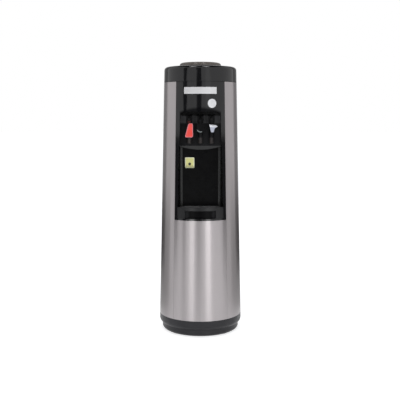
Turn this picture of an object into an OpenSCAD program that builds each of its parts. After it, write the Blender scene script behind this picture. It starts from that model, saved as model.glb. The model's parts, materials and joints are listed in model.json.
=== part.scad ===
// Bottleless water cooler: a tapered steel body on a black base, with a black
// front, three lever taps in an alcove, a drip tray and a lift-off lid.
// Millimetres. +Z is up, the front faces -Y, the origin lies under the middle.

/* [Body shell] */
// Outer radius of the steel body at its lower edge
body_r_bottom = 162.5; // [158:0.5:170]
// Outer radius of the steel body at its upper edge
body_r_top = 141.3; // [138:0.1:148]
// Height of the base, up to the steel body's lower edge
base_h = 66; // [60:1:80]
// Height of the steel body
shell_h = 909; // [900:1:960]
// Thickness of the sheet steel
sheet_t = 1.2; // [0.8:0.1:1.6]
// Half of the angle that the black front covers, in degrees
front_half_angle = 40; // [39:0.5:44]
// Distance from the axis to the outside of the flat rear panel
rear_y = 95; // [94:1:100]
// Gap between neighbouring shell panels
seam_gap = 0.4; // [0.2:0.1:0.8]
// Width of the folded flange along each rear edge
flange_w = 10; // [8:1:14]

/* [Base] */
// Height of the rubber feet below the base ring
foot_h = 3; // [2:0.5:6]
// Radius of a rubber foot
foot_r = 12; // [9:0.5:13]
// Wall of the moulded base and cap
mould_t = 3; // [2.5:0.5:4]
// Radius of the rounding under the base's upper ring
base_roll_r = 19; // [16:0.5:22]
// Depth of the groove round the base
groove_depth = 12; // [10:0.5:14]
// Height of the shelf in the base that carries the steel pan
pan_z = 32; // [30:1:36]
// Width of that shelf
pan_shelf_w = 27; // [26:1:32]

/* [Top cap and lid] */
// Height of the cap's wall above the body
cap_wall_h = 46; // [40:1:60]
// Radius of the cap's shoulder
cap_shoulder_r = 13; // [10:0.5:16]
// Rise of the cap's dome from the shoulder to its flat middle
cap_dome_h = 4; // [3:0.5:6]
// Dark seam between the steel body and the cap
cap_seam = 1; // [0.5:0.1:2]
// Radius of the service hole in the cap
hole_r = 71; // [66:0.5:74]
// Outer radius of the lid
lid_r = 81; // [78:0.5:86]
// Height of the lid above the cap
lid_h = 14; // [10:0.5:18]

/* [Front and alcove] */
// Height of the black front above the alcove
front_top_h = 112.2; // [108:0.1:120]
// Wall of the black front
fascia_t = 3; // [2.5:0.1:3.5]
// Height of the rail below the drip tray
front_rail_h = 6.5; // [6:0.5:8]
// Height of the drip tray's front
tray_front_h = 42; // [38:1:46]
// Height of the alcove above the tray
alcove_h = 361; // [356:1:376]
// Height of the tap bay at the top of the alcove
tap_bay_h = 128; // [124:1:132]
// Half width of the alcove's mouth at its top
mouth_half_top = 75; // [72:0.5:77]
// Half width of the alcove's mouth where its sides begin to close in
mouth_half_mid = 84.5; // [82:0.5:85]
// Height of that place above the tray
close_in_h = 150; // [120:1:180]
// Half width of the alcove's mouth above the flare
mouth_half_low = 85.5; // [85:0.5:87]
// Half width of the alcove's mouth at the tray
mouth_half_sill = 88; // [87:0.5:89]
// Height of the flare at the foot of the mouth
flare_h = 30; // [20:1:40]
// Corner radius at the top of the mouth
mouth_corner_r = 14; // [10:1:20]
// Half width of the alcove's back wall
alcove_back_half = 68; // [65:1:70]
// Depth of the alcove's back wall, measured from the axis
alcove_back_y = 72; // [70:0.5:73]
// Width of the cove between the alcove's back wall and its sides
cove_w = 10; // [7:0.5:12]
// Depth of that cove
cove_d = 6; // [4:0.5:8]
// Wall of the alcove liner
liner_t = 2.5; // [2:0.5:3]

// Width of the silver badge, measured along its chord
badge_w = 121; // [100:1:128]
// Height of the silver badge
badge_h = 25; // [20:1:32]
// Thickness of the silver badge
badge_t = 1; // [0.6:0.1:1.5]
// Distance from the top of the front to the badge's lower edge
badge_drop = 46; // [42:1:60]
// Width of the yellow label
label_w = 36; // [30:1:40]
// Height of the yellow label
label_h = 41; // [36:1:46]
// Height of the yellow label's lower edge above the sill
label_rise = 146; // [120:1:165]

/* [Drip tray] */
// Wall of the drip tray
tray_wall = 2.5; // [2:0.25:3]
// Thickness of the grille
grille_t = 3; // [2.5:0.25:4]
// Half width of the finger pull in the tray's front
pull_half = 59; // [45:1:62]
// Height of the tray's lip above the finger pull
pull_lip_h = 12; // [8:0.5:14]

/* [Taps] */
// Distance between neighbouring taps
tap_pitch = 42; // [40:0.5:44]
// Distance from the axis to the face of the tap panel
tap_panel_y = 98; // [97:0.5:99]
// Height of the spout tips above the tap bay's floor
spout_tip_h = 9; // [6:0.5:14]
// Outer radius of a spout
spout_r = 7.5; // [7:0.1:8]
// Bore radius of a spout
spout_bore_r = 4.5; // [4:0.1:5]
// Length of a spout below the valve chamber
spout_len = 26; // [24:0.5:28]
// Outer radius of a valve barrel
barrel_r = 9; // [8.5:0.1:9.5]
// Radius of the threaded shank through the tap panel
shank_r = 7; // [6.5:0.1:7.2]
// Radius of the hinge pin of a lever
lever_pin_r = 2; // [1.5:0.1:2.5]
// Outer radius of the bonnet that holds the lever
bonnet_r = 13; // [12:0.5:14]
// Width of the bonnet
bonnet_w = 24; // [22:0.5:26]
// Width of the lever's tongue in the bonnet's slot
tongue_w = 8; // [6:0.5:10]
// Thickness of a lever's paddle
paddle_t = 3; // [2.5:0.5:4]

/* [Levers] */
// Drop from the hinge pin to the top of a paddle
paddle_drop = 22; // [20:0.5:26]
// Lean of a paddle's lower end away from its spout, in degrees
paddle_lean = 5.5; // [4:0.5:8]
// Height of the hot lever's paddle
hot_paddle_h = 52; // [46:1:56]
// Width of the hot paddle at its top
hot_paddle_top_w = 12; // [10:0.5:16]
// Width of the hot paddle at its foot
hot_paddle_foot_w = 30; // [27:0.5:32]
// Distance from the hot tap's axis to its paddle's inner edge
hot_paddle_inner = 14.5; // [13:0.5:16]
// Rise of the hot paddle's rounded top above the other paddles
hot_paddle_rise = 3.5; // [2:0.5:5]
// Height of the room temperature lever's paddle
room_paddle_h = 33; // [30:1:38]
// Width of the room temperature lever's paddle
room_paddle_w = 27; // [22:0.5:28]
// Height of the cold lever's paddle
cold_paddle_h = 34; // [31:1:40]
// Width of the bar across the top of the cold paddle
cold_bar_w = 32; // [28:0.5:34]
// Height of that bar
cold_bar_h = 9; // [7:0.5:11]
// Distance from the cold tap's axis to the bar's inner end
cold_bar_inner = 8.5; // [7:0.5:10]
// Width of the cold paddle's stem at its foot
cold_stem_w = 8.5; // [7:0.5:11]
// Travel of the safety catch on the hot lever
catch_travel = 3; // [2:0.5:4]

/* [Fits] */
// Radial clearance of a pin or spindle in its running bore
run_fit = 0.06; // [0.03:0.01:0.09]
// Side clearance between moving parts
side_gap = 0.3; // [0.25:0.05:0.5]
// Clearance between fixed parts that slip together
slip = 0.2; // [0.1:0.05:0.3]

/* [Tanks] */
// Outer radius of the cold tank
cold_tank_r = 66; // [62:0.5:68]
// Height of the cold tank
cold_tank_h = 168; // [160:1:172]
// Wall of both tanks
tank_t = 1; // [0.8:0.1:1.2]
// Radius of the copper evaporator tube
coil_tube_r = 4; // [3:0.25:4.5]
// Turns of the evaporator
coil_turns = 8; // [6:1:10]
// Wall of the cold tank's insulation
cold_foam_t = 12; // [10:0.5:12.5]
// Outer radius of the hot tank
hot_tank_r = 55; // [50:0.5:57]
// Height of the hot tank
hot_tank_h = 150; // [140:1:158]
// Wall of the hot tank's insulation
hot_foam_t = 14; // [12:0.5:15]

/* [Machine room] */
// Radius of the compressor's shell
compressor_r = 62; // [58:1:66]
// Height of the compressor's shell
compressor_h = 150; // [140:1:160]
// Radius of a filter cartridge
filter_r = 27; // [24:0.5:30]
// Length of a filter cartridge
filter_h = 245; // [220:1:260]
// Straight passes of the condenser tube
condenser_passes = 15; // [9:2:17]
// Distance between neighbouring passes
condenser_pitch = 32; // [28:1:34]
// Half length of a straight pass
condenser_half = 82; // [70:1:84]
// Radius of the condenser tube
condenser_tube_r = 2.4; // [2:0.1:3]
// Distance from the rear panel to the condenser's centre plane
condenser_off = 20; // [16:1:22]

/* [Hidden] */

$fn = 72;
black = "#2b2a2e";
gloss_black = "#222124";
steel = "#a9a7a8";
tank_steel = "#c3c6c8";
foam = "#e8e4d6";
copper = "#b3714a";

// Length of the blocks that cut right through the body, and an angle past its flat back
reach = 200;
back_angle = 160;

// Levels of the body
shell_z0 = base_h;
shell_z1 = base_h + shell_h;
alcove_top_z = shell_z1 - front_top_h;
sill_z = alcove_top_z - alcove_h;
tray_z0 = sill_z - tray_front_h;
front_z = tray_z0 - side_gap - front_rail_h;
tap_bay_z = alcove_top_z - tap_bay_h;
seam_angle = seam_gap / body_r_top * 180 / PI;
panel_edge = front_half_angle - seam_angle / 2;
lap_angle = 3;

// Run over which the alcove's sides spread from its back wall to its mouth
alcove_run = 50;

// Badge and label
badge_z0 = shell_z1 - badge_drop;
film_gap = 0.05;
label_z0 = sill_z + label_rise;
label_x = -41;
label_t = 0.4;

// Tap levels and places
spout_tip_z = tap_bay_z + spout_tip_h;
chamber_z = spout_tip_z + spout_len;
chamber_h = 36;
chamber_r = barrel_r - 1.8;
shank_z = chamber_z + 13;
pin_z = chamber_z + 71;
bonnet_z0 = pin_z - 19;
slot_z = pin_z - 12;
barrel_y = -tap_panel_y - 14;
pin_y = barrel_y - 6;
bonnet_y = barrel_y - 2;
paddle_y = pin_y - 15;
tap_xs = [-tap_pitch, 0, tap_pitch];
rod_r = 1.5;
seal_t = 3;
finger_t = 5;
head_gap = 1.3;
head_r = 3.2;
catch_z0 = pin_z - 21;
catch_w = 11;
catch_h = 9;
catch_stem_w = 3;
shank_tail = 12;
tap_nut_t = 6;
tap_nut_r = 11.5;
collar_t = 2;

// Base and cap outlines
base_band_h = 20;
groove_h = 3;
base_roll_c = [body_r_bottom - base_roll_r, base_h - base_band_h];
groove_r = body_r_bottom - groove_depth;
toe_r = groove_r + 1.3;
toe_round = 14;
toe_z = foot_h + 13;
upstand_h = 12;
pan_shelf_r = groove_r - mould_t - pan_shelf_w;
pan_t = 1.5;
cap_z0 = shell_z1 + cap_seam;
cap_wall_z = cap_z0 + cap_wall_h;
cap_top_r = body_r_top - 1.1;
cap_top_z = cap_wall_z + cap_shoulder_r + cap_dome_h;
cap_skirt_h = 10;
lid_z0 = cap_top_z + side_gap;
lid_plug_h = 10;

// Rear panel and what goes through it
rear_in = rear_y - sheet_t;
condenser_y = rear_y + condenser_off;
condenser_z0 = shell_z0 + 264;
condenser_top_z = condenser_z0 + (condenser_passes - 1) * condenser_pitch;
condenser_end_x = condenser_half + 8;
condenser_tail = 8;
pass_gap = 1;
service_z = shell_z0 + 54;
vent_z0 = service_z + 60;
vent_pitch = 14;
water_inlet_at = [78, service_z];
power_inlet_at = [-62, service_z];
drain_at = [36, service_z];
switch_z = shell_z1 - 75;
switch_w = 13;
switch_h = 19;
switch_wall = 2;
switch_edge = 4;
switch_pitch = 32;
switch_lean = 8;
knob_r = 11;
knob_shaft_r = 3;
flange_x = sqrt(pow(body_r(switch_z) - flange_w, 2) - pow(rear_in, 2));
switch_x = switch_edge + switch_wall + switch_w / 2 - flange_x;
hot_switch_at = [switch_x, switch_z + switch_pitch / 2];
cold_switch_at = [switch_x, switch_z - switch_pitch / 2];
knob_at = [-switch_x, switch_z];
screw_zs = [for (i = [0:3]) shell_z0 + 40 + i * (shell_h - 80) / 3];
screw_r = 1.6;
screw_head_r = 3.6;
screw_head_t = 1.8;
tube_bore_r = 3.25;
tube_depth = 16;
inlet_tail = 14;
drain_tail = 10;
nut_t = 5;
inlet_r = 8;
inlet_out = 18;
drain_r = 8;
drain_out = 16;
drain_flange_t = 4;
power_w = 28;
power_h = 20;

// Cold tank, hot tank and their shelves. coil_sag is how far the coil's straight runs cut inwards.
coil_sag = 0.9;
cold_foam_in = cold_tank_r + coil_sag + 2 * coil_tube_r + 2 * slip;
cold_foam_r = cold_foam_in + cold_foam_t;
cold_y = rear_in - slip - cold_foam_r;
cold_shelf_z = shank_z + tap_nut_r + 4.7;
cold_z0 = cold_shelf_z + cold_foam_t;
cold_top_z = cold_z0 + cold_tank_h;
cover_t = 5;
baffle_z = cold_z0 + 95;
band_t = 2;
hot_foam_in = hot_tank_r + band_t + 2 * slip;
hot_foam_r = hot_foam_in + hot_foam_t;
hot_y = rear_in - slip - hot_foam_r;
hot_top_z = tap_bay_z + 5;
hot_z0 = hot_top_z - hot_tank_h;
hot_shelf_z = hot_z0 - hot_foam_t;
shelf_t = 1.5;
shelf_flange = 12;
port_r = 4;
line_r = 3.5;
float_x = -34;
float_arm_len = 56;
float_r = 14;
float_z = cold_top_z - 21;
float_pin_r = 1.5;

// Machine room
pan_top_z = pan_z + pan_t;
compressor_y = 22;
grommet_h = 10;
grommet_r = 8;
grommet_bore_r = 3;
compressor_z0 = pan_top_z + grommet_h;
filter_x = 38;
filter_y = -98;
filter_top_z = front_z - 46;
head_h = 34;
head_half = filter_x + filter_r + 3;
refrigerant_r = 3.2;

// Outer radius of the steel body at height z
function body_r(z) = body_r_bottom + (body_r_top - body_r_bottom) * (z - shell_z0) / shell_h;

// Points along an arc of radius r round c, in degrees
function arc(c, r, a0, a1, n = 8) =
    [for (i = [0:n]) c + r * [cos(a0 + (a1 - a0) * i / n), sin(a0 + (a1 - a0) * i / n)]];

// Half of the alcove mouth's outline, widened by o, from the sill up to the middle
function mouth_half(o) = concat(
    [[mouth_half_sill + o, sill_z], [mouth_half_low + o, sill_z + flare_h]],
    [[mouth_half_mid + o, sill_z + close_in_h]],
    arc([mouth_half_top - mouth_corner_r, alcove_top_z - mouth_corner_r], mouth_corner_r + o, 0, 90)
);

// The outline of the alcove's mouth, widened by o
function mouth(o) = concat(mouth_half(o), [for (i = [len(mouth_half(o)) - 1:-1:0])
    [-mouth_half(o)[i][0], mouth_half(o)[i][1]]]);

// Outward direction of the edge from p to q, and the corner of two edges moved outwards by o
function outward(p, q) = [p[1] - q[1], q[0] - p[0]] / norm(q - p);
function corner(p, u, v, o) = p + o * (u + v) / (1 + u * v);

// Right half of the alcove's plan, widened by o: back wall, cove, and a side that spreads to the mouth
function plan_half(o) =
    let (
        back = [alcove_back_half, -alcove_back_y],
        side = back + [cove_w, -cove_d],
        mouth_end = [mouth_half_sill, -alcove_back_y - alcove_run],
        u = outward(back, side),
        v = outward(side, mouth_end)
    )
    [
        corner(back, [0, 1], u, o),
        corner(side, u, v, o),
        side + (mouth_end - side) * (reach + side[1]) / (side[1] - mouth_end[1]) + [o / v[0], 0]
    ];

// Conical shell between two heights and two angles, set in from the body's surface
module body_sector(z0, z1, outer, inner, a0, a1) {
    rotate([0, 0, a0 - 90])
        rotate_extrude(angle = a1 - a0)
            polygon([
                [body_r(z0) - inner, z0],
                [body_r(z0) - outer, z0],
                [body_r(z1) - outer, z1],
                [body_r(z1) - inner, z1]
            ]);
}

// Solid cone that lies inside the body's surface by inset
module inside_body(z0, z1, inset) {
    translate([0, 0, z0]) cylinder(h = z1 - z0, r1 = body_r(z0) - inset, r2 = body_r(z1) - inset);
}

// Wide block from y0 to y1 and z0 to z1
module slab(y0, y1, z0, z1) {
    translate([-reach, y0, z0]) cube([2 * reach, y1 - y0, z1 - z0]);
}

// Block in front of the axis, as far as half to both sides, from z0 to z1
module front_block(half, z0, z1) {
    translate([-half, -reach, z0]) cube([2 * half, reach, z1 - z0]);
}

// Cylinder along X, centred on x
module rod_x(x, y, z, r, length) {
    translate([x, y, z]) rotate([0, 90, 0]) cylinder(r = r, h = length, center = true);
}

// Cylinder along Y from y0 to y1
module rod_y(x, y0, y1, z, r) {
    translate([x, y1, z]) rotate([90, 0, 0]) cylinder(r = r, h = y1 - y0);
}

// Cylinder along Z from z0 to z1
module rod_z(x, y, z0, z1, r) {
    translate([x, y, z0]) cylinder(r = r, h = z1 - z0);
}

// Round bar between two points
module bar(p, q, r) {
    d = q - p;
    translate(p) rotate([0, acos(d[2] / norm(d)), atan2(d[1], d[0])]) cylinder(r = r, h = norm(d));
}

// Bent pipe along a list of points, with a slightly fuller elbow at each bend
module pipe(points, r) {
    for (i = [0:len(points) - 2]) {
        bar(points[i], points[i + 1], r);
    }
    for (i = [1:len(points) - 2]) {
        translate(points[i]) sphere(r = r + 0.2);
    }
}

// Outline in X and Z, drawn out from y back to front by depth
module upright(y, depth, points) {
    translate([0, y, 0]) rotate([90, 0, 0]) linear_extrude(height = depth) polygon(points);
}

// Outline in Y and Z, drawn out to both sides of x
module profile_x(x, width, points) {
    translate([x - width / 2, 0, 0]) rotate([90, 0, 90]) linear_extrude(height = width) polygon(points);
}

// A round wire coil that winds upwards from z = 0, as one tube
function coil_point(r, rise, wire, a, t) =
    [(r + wire * cos(t)) * cos(a), (r + wire * cos(t)) * sin(a), rise * a / 360 + wire * sin(t)];
module wire_coil(r, rise, turns, wire, steps_a_turn, sides) {
    steps = turns * steps_a_turn;
    last = steps * sides;
    polyhedron(
        points = [for (i = [0:steps]) for (j = [0:sides - 1])
            coil_point(r, rise, wire, 360 * i / steps_a_turn, 360 * j / sides)],
        faces = concat(
            [for (j = [1:sides - 2]) [0, j + 1, j]],
            [for (j = [1:sides - 2]) [last, last + j, last + j + 1]],
            [for (i = [0:steps - 1]) for (j = [0:sides - 1])
                [i * sides + j, i * sides + (j + 1) % sides, (i + 1) * sides + (j + 1) % sides]],
            [for (i = [0:steps - 1]) for (j = [0:sides - 1])
                [i * sides + j, (i + 1) * sides + (j + 1) % sides, (i + 1) * sides + j]]
        )
    );
}

// Base: a moulded ring with a groove above its toe, and a deck behind the rear panel
module base_ring() {
    roll_end = -acos((groove_r - base_roll_c[0]) / base_roll_r);
    toe_end = -asin((toe_z - foot_h) / toe_round);
    wall_r = groove_r - mould_t;
    upstand_r = body_r(base_h + upstand_h) - sheet_t - slip;
    color(black) {
        difference() {
            rotate_extrude() polygon(concat(
                [[body_r_bottom, base_h]],
                arc(base_roll_c, base_roll_r, 0, roll_end),
                [[groove_r, toe_z + groove_h]],
                arc([toe_r - toe_round, toe_z], toe_round, 0, toe_end),
                [[toe_r - toe_round, foot_h], [wall_r, toe_z]],
                [[wall_r, pan_z - mould_t], [pan_shelf_r, pan_z - mould_t]],
                [[pan_shelf_r, pan_z], [wall_r, pan_z]],
                [[upstand_r - mould_t, base_roll_c[1]], [upstand_r - mould_t, base_h + upstand_h]],
                [[upstand_r, base_h + upstand_h], [upstand_r, base_h]]
            ));
            slab(rear_in - sheet_t - slip, reach, base_h, base_h + upstand_h + 1);
        }
        intersection() {
            rod_z(0, 0, base_h - mould_t, base_h, upstand_r - 1);
            slab(rear_in - mould_t, reach, base_h - mould_t, base_h);
        }
    }
}

// Puts its child at each of the compressor's four feet
module compressor_feet() {
    for (a = [45:90:315]) {
        translate([0, compressor_y, 0]) rotate([0, 0, a]) translate([compressor_r + 14, 0, 0]) children();
    }
}

module base_pan() {
    color("#8d9092") difference() {
        rod_z(0, 0, pan_z, pan_top_z, groove_r - mould_t - slip);
        compressor_feet() rod_z(0, 0, pan_z - 1, pan_top_z + 1, grommet_bore_r);
    }
}

module rubber_feet() {
    pad_h = foot_h + 6;
    color("#1d1d1f") for (a = [45:90:315]) {
        rotate([0, 0, a]) translate([pan_shelf_r + foot_r / 2, 0, 0]) {
            cylinder(r1 = foot_r - 1, r2 = foot_r, h = pad_h);
            cylinder(r = foot_r / 2, h = pan_z - mould_t);
        }
    }
}

// Holes for the screws that join the rear panel to the side panels' flanges
function screw_x(z) = sqrt(pow(body_r(z) - flange_w / 2, 2) - pow(rear_in, 2));
module screw_holes() {
    for (z = screw_zs) {
        for (side = [-1, 1]) {
            rod_y(side * screw_x(z), rear_in - 10, rear_y + 10, z, screw_r + slip);
        }
    }
}

// Side panels: sheet steel from the front's edge round to the flat back, with a folded flange
module side_panel() {
    color(steel) {
        difference() {
            body_sector(shell_z0, shell_z1, 0, sheet_t, panel_edge + seam_angle, back_angle);
            slab(rear_y, reach, shell_z0 - 1, shell_z1 + 1);
        }
        difference() {
            intersection() {
                body_sector(shell_z0, shell_z1, sheet_t / 2, flange_w, 90, back_angle);
                slab(rear_in - sheet_t, rear_in, shell_z0 - 1, shell_z1 + 1);
            }
            screw_holes();
        }
    }
}

module right_side_panel() {
    side_panel();
}

module left_side_panel() {
    mirror([1, 0, 0]) side_panel();
}

// Strip behind a side panel's front edge, which holds the panel in line
module lap_strips(z0, z1, wall) {
    depth = sheet_t + slip;
    for (side = [-1, 1]) {
        mirror([side < 0 ? 1 : 0, 0, 0]) {
            body_sector(z0, z1, depth, depth + sheet_t, panel_edge - lap_angle, panel_edge + lap_angle);
            body_sector(z0, z1, wall - 0.5, depth + sheet_t, panel_edge - lap_angle, panel_edge - 0.5);
        }
    }
}

module lower_front_panel() {
    top_z = front_z - seam_gap;
    ledge_w = 14;
    ledge_edge = panel_edge - 4;
    color(steel) {
        body_sector(shell_z0, top_z, 0, sheet_t, -panel_edge, panel_edge);
        body_sector(top_z - sheet_t, top_z, sheet_t / 2, ledge_w, -ledge_edge, ledge_edge);
        lap_strips(shell_z0 + upstand_h + 2, top_z - 2, sheet_t);
    }
}

// Two columns of vent slots beside the compressor
module vent_slots() {
    slot_w = 52;
    slot_h = 5;
    for (x = [-62, 62]) {
        for (i = [0:7]) {
            translate([x - slot_w / 2, rear_in - 1, vent_z0 + vent_pitch * i])
                cube([slot_w, sheet_t + 2, slot_h]);
        }
    }
}

module rear_panel() {
    color("#55575a") difference() {
        intersection() {
            inside_body(shell_z0 + side_gap, shell_z1 - side_gap, sheet_t + slip);
            slab(rear_in, rear_y, shell_z0, shell_z1);
        }
        vent_slots();
        rod_y(water_inlet_at[0], rear_in - 1, rear_y + 1, water_inlet_at[1], inlet_r + slip);
        rod_y(drain_at[0], rear_in - 1, rear_y + 1, drain_at[1], drain_r + slip);
        rod_y(knob_at[0], rear_in - 1, rear_y + 1, knob_at[1], knob_shaft_r + slip);
        rod_y(condenser_end_x, rear_in - 1, rear_y + 1, condenser_top_z, condenser_tube_r + pass_gap);
        rod_y(-condenser_end_x, rear_in - 1, rear_y + 1, condenser_z0, condenser_tube_r + pass_gap);
        translate([power_inlet_at[0], rear_y, power_inlet_at[1]])
            cube([power_w + 2 * slip, 10, power_h + 2 * slip], center = true);
        for (at = [hot_switch_at, cold_switch_at]) {
            translate([at[0], rear_y, at[1]])
                cube([switch_w + 2 * (switch_wall + slip), 10, switch_h + 2 * (switch_wall + slip)], center = true);
        }
        screw_holes();
    }
}

// Black front: a conical panel with the alcove's mouth and the tray's opening cut out
module front_fascia() {
    color(gloss_black) {
        difference() {
            body_sector(front_z, shell_z1 - side_gap, 0, fascia_t, -panel_edge, panel_edge);
            upright(0, reach, mouth(0));
            front_block(mouth_half_sill, tray_z0 - side_gap, sill_z + 1);
        }
        lap_strips(front_z, shell_z1 - cap_skirt_h - 2, fascia_t);
    }
}

// Plan of the alcove, widened by o
module alcove_plan(o, z0, z1) {
    right = plan_half(o);
    left = [for (i = [len(right) - 1:-1:0]) [-right[i][0], right[i][1]]];
    translate([0, 0, z0]) linear_extrude(height = z1 - z0) polygon(concat(right, left));
}

// The alcove's outline with the tray's space below the sill, widened by o
function liner_outline(o) = concat(
    [[-mouth_half_sill - o, front_z + front_rail_h - o], [mouth_half_sill + o, front_z + front_rail_h - o]],
    mouth(o)
);

module alcove_block(o) {
    intersection() {
        upright(-alcove_back_y + o, reach, liner_outline(o));
        alcove_plan(o, front_z - 5, alcove_top_z + 10);
    }
}

module alcove_liner() {
    color("#1a1a1c") difference() {
        intersection() {
            alcove_block(liner_t);
            inside_body(front_z, alcove_top_z + 10, fascia_t + slip);
        }
        alcove_block(0);
        slab(-tap_panel_y + liner_t, 0, tap_bay_z, alcove_top_z + 10);
    }
}

// Tap housing: the panel behind the taps and the swelling lip below them
module tap_housing() {
    lip_h = 15.5;
    lip_end_h = 6;
    lip_back = 8;
    lip_swell = lip_h - lip_end_h;
    lip_r = (alcove_back_half * alcove_back_half + lip_swell * lip_swell) / (2 * lip_swell);
    color(gloss_black) difference() {
        union() {
            intersection() {
                upright(-tap_panel_y + liner_t, liner_t, mouth(-slip));
                slab(-tap_panel_y, 0, tap_bay_z - 0.5, alcove_top_z);
            }
            intersection() {
                profile_x(0, reach, [
                    [-tap_panel_y, tap_bay_z],
                    [-tap_panel_y + lip_back, tap_bay_z - lip_h],
                    [-alcove_back_y - slip, tap_bay_z - lip_h],
                    [-alcove_back_y - slip, tap_bay_z]
                ]);
                alcove_plan(-slip, tap_bay_z - lip_h, tap_bay_z);
                upright(-alcove_back_y, reach, mouth(-slip));
                rod_y(0, -reach, 0, tap_bay_z - lip_h + lip_r, lip_r);
            }
        }
        for (x = tap_xs) {
            rod_y(x, -tap_panel_y - 1, -tap_panel_y + liner_t + 1, shank_z, shank_r + slip);
        }
    }
}

// Plain silver badge, curved with the front
module badge_plate() {
    half = asin(badge_w / 2 / body_r(badge_z0));
    color("#d6d6d8") body_sector(badge_z0, badge_z0 + badge_h, -badge_t - film_gap, -film_gap, -half, half);
}

module yellow_label() {
    color("#d7d78c") translate([label_x - label_w / 2, -alcove_back_y - label_t, label_z0])
        cube([label_w, label_t, label_h]);
}

// Cap: a round moulding with a rounded shoulder, a service hole and a skirt inside the body
module top_cap() {
    shoulder = [cap_top_r - cap_shoulder_r, cap_wall_z];
    skirt_r = body_r_top - fascia_t - slip;
    lip_t = 2.5;
    color(gloss_black) {
        difference() {
            rotate_extrude() polygon(concat(
                [[body_r_top, cap_z0]],
                arc(shoulder, cap_shoulder_r, 0, 90),
                [[lid_r + 6, cap_top_z], [hole_r, cap_top_z]],
                [[hole_r, cap_top_z - 12], [hole_r + lip_t, cap_top_z - 12]],
                [[hole_r + lip_t, cap_top_z - mould_t], [lid_r + 6, cap_top_z - mould_t]],
                arc(shoulder, cap_shoulder_r - mould_t, 90, 0),
                [[body_r_top - mould_t, cap_z0 + mould_t], [skirt_r - lip_t, cap_z0 + mould_t]],
                [[skirt_r - lip_t, cap_z0 - cap_skirt_h], [skirt_r, cap_z0 - cap_skirt_h]],
                [[skirt_r, cap_z0]]
            ));
            slab(rear_in - sheet_t - slip, reach, cap_z0 - cap_skirt_h - 1, cap_z0);
        }
        intersection() {
            rod_z(0, 0, cap_z0, cap_z0 + mould_t, skirt_r - 1);
            slab(rear_in, reach, cap_z0, cap_z0 + mould_t);
        }
    }
}

// Lid: a shallow dome that plugs into the service hole
module top_lid() {
    round_r = lid_h - 3;
    plug_r = hole_r - side_gap;
    color("#3a3230") rotate_extrude() {
        polygon(concat(
            [[lid_r, lid_z0]],
            arc([lid_r - round_r, lid_z0 + 1.5], round_r, 0, 90),
            [[0, lid_z0 + lid_h], [0, lid_z0 + lid_h - mould_t]],
            [[lid_r - round_r - 2, lid_z0 + lid_h - 2 - mould_t]],
            [[lid_r - mould_t - 1, lid_z0 + 2.5], [lid_r - mould_t - 1, lid_z0]]
        ));
        polygon([
            [plug_r - 2.5, lid_z0 - lid_plug_h],
            [plug_r, lid_z0 - lid_plug_h],
            [plug_r, lid_z0 + lid_h - 2 - mould_t],
            [plug_r - 2.5, lid_z0 + lid_h - 2 - mould_t]
        ]);
    }
}

// Space inside the tray's mouth, set in by the fit, between two heights
module tray_space(inset, front_inset, z0, z1) {
    intersection() {
        alcove_plan(-inset, z0, z1);
        inside_body(z0, z1, front_inset);
        front_block(mouth_half_sill - inset, z0, z1);
    }
}

// Space of the grille, whose straight sides stay clear of the mouth as it lifts out, widened by o
module grille_space(o, z0, z1) {
    back_half = alcove_back_half + o;
    back_y = -alcove_back_y - cove_d - tray_wall + o;
    front_half = mouth_half_low - 2 * tray_wall + o;
    front_y = -alcove_back_y - alcove_run;
    intersection() {
        tray_space(tray_wall, fascia_t - 1 + side_gap - o, z0, z1);
        translate([0, 0, z0]) linear_extrude(height = z1 - z0) polygon([
            [-back_half, back_y], [-front_half, front_y], [-front_half, -reach],
            [front_half, -reach], [front_half, front_y], [back_half, back_y]
        ]);
    }
}

// Drip tray: a pull-out basin whose curved front has a finger pull under its lip
module drip_tray() {
    pull_z = sill_z - pull_lip_h;
    pull_depth = 10;
    seat_z = sill_z - grille_t - side_gap;
    ledge = 1.5;
    color(gloss_black) {
        difference() {
            tray_space(side_gap, 0, tray_z0, sill_z);
            tray_space(tray_wall, fascia_t, tray_z0 + tray_wall, seat_z - ledge);
            grille_space(-ledge, seat_z - ledge - 1, seat_z + 1);
            grille_space(side_gap, seat_z, sill_z + 1);
            front_block(pull_half, tray_z0 - 1, pull_z);
        }
        intersection() {
            difference() {
                tray_space(side_gap, pull_depth, tray_z0, pull_z + tray_wall);
                tray_space(tray_wall, pull_depth + tray_wall, tray_z0 + tray_wall, pull_z + tray_wall + 1);
            }
            front_block(pull_half + 1, tray_z0, sill_z);
        }
        intersection() {
            difference() {
                tray_space(side_gap, 0, tray_z0, pull_z + tray_wall);
                tray_space(side_gap - 1, pull_depth + 1, tray_z0 - 1, pull_z + tray_wall + 1);
                front_block(pull_half, tray_z0 - 1, pull_z);
            }
            front_block(pull_half + tray_wall, tray_z0, sill_z);
        }
    }
}

module drip_grille() {
    bar_pitch = 8;
    slot = 4;
    color(black) difference() {
        grille_space(0, sill_z - grille_t, sill_z);
        for (i = [0:4]) {
            for (side = [-1, 1]) {
                translate([side * 33 - 27, -alcove_back_y - 16 - bar_pitch * i - slot, sill_z - grille_t - 1])
                    cube([54, slot, grille_t + 2]);
            }
        }
    }
}

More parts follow.
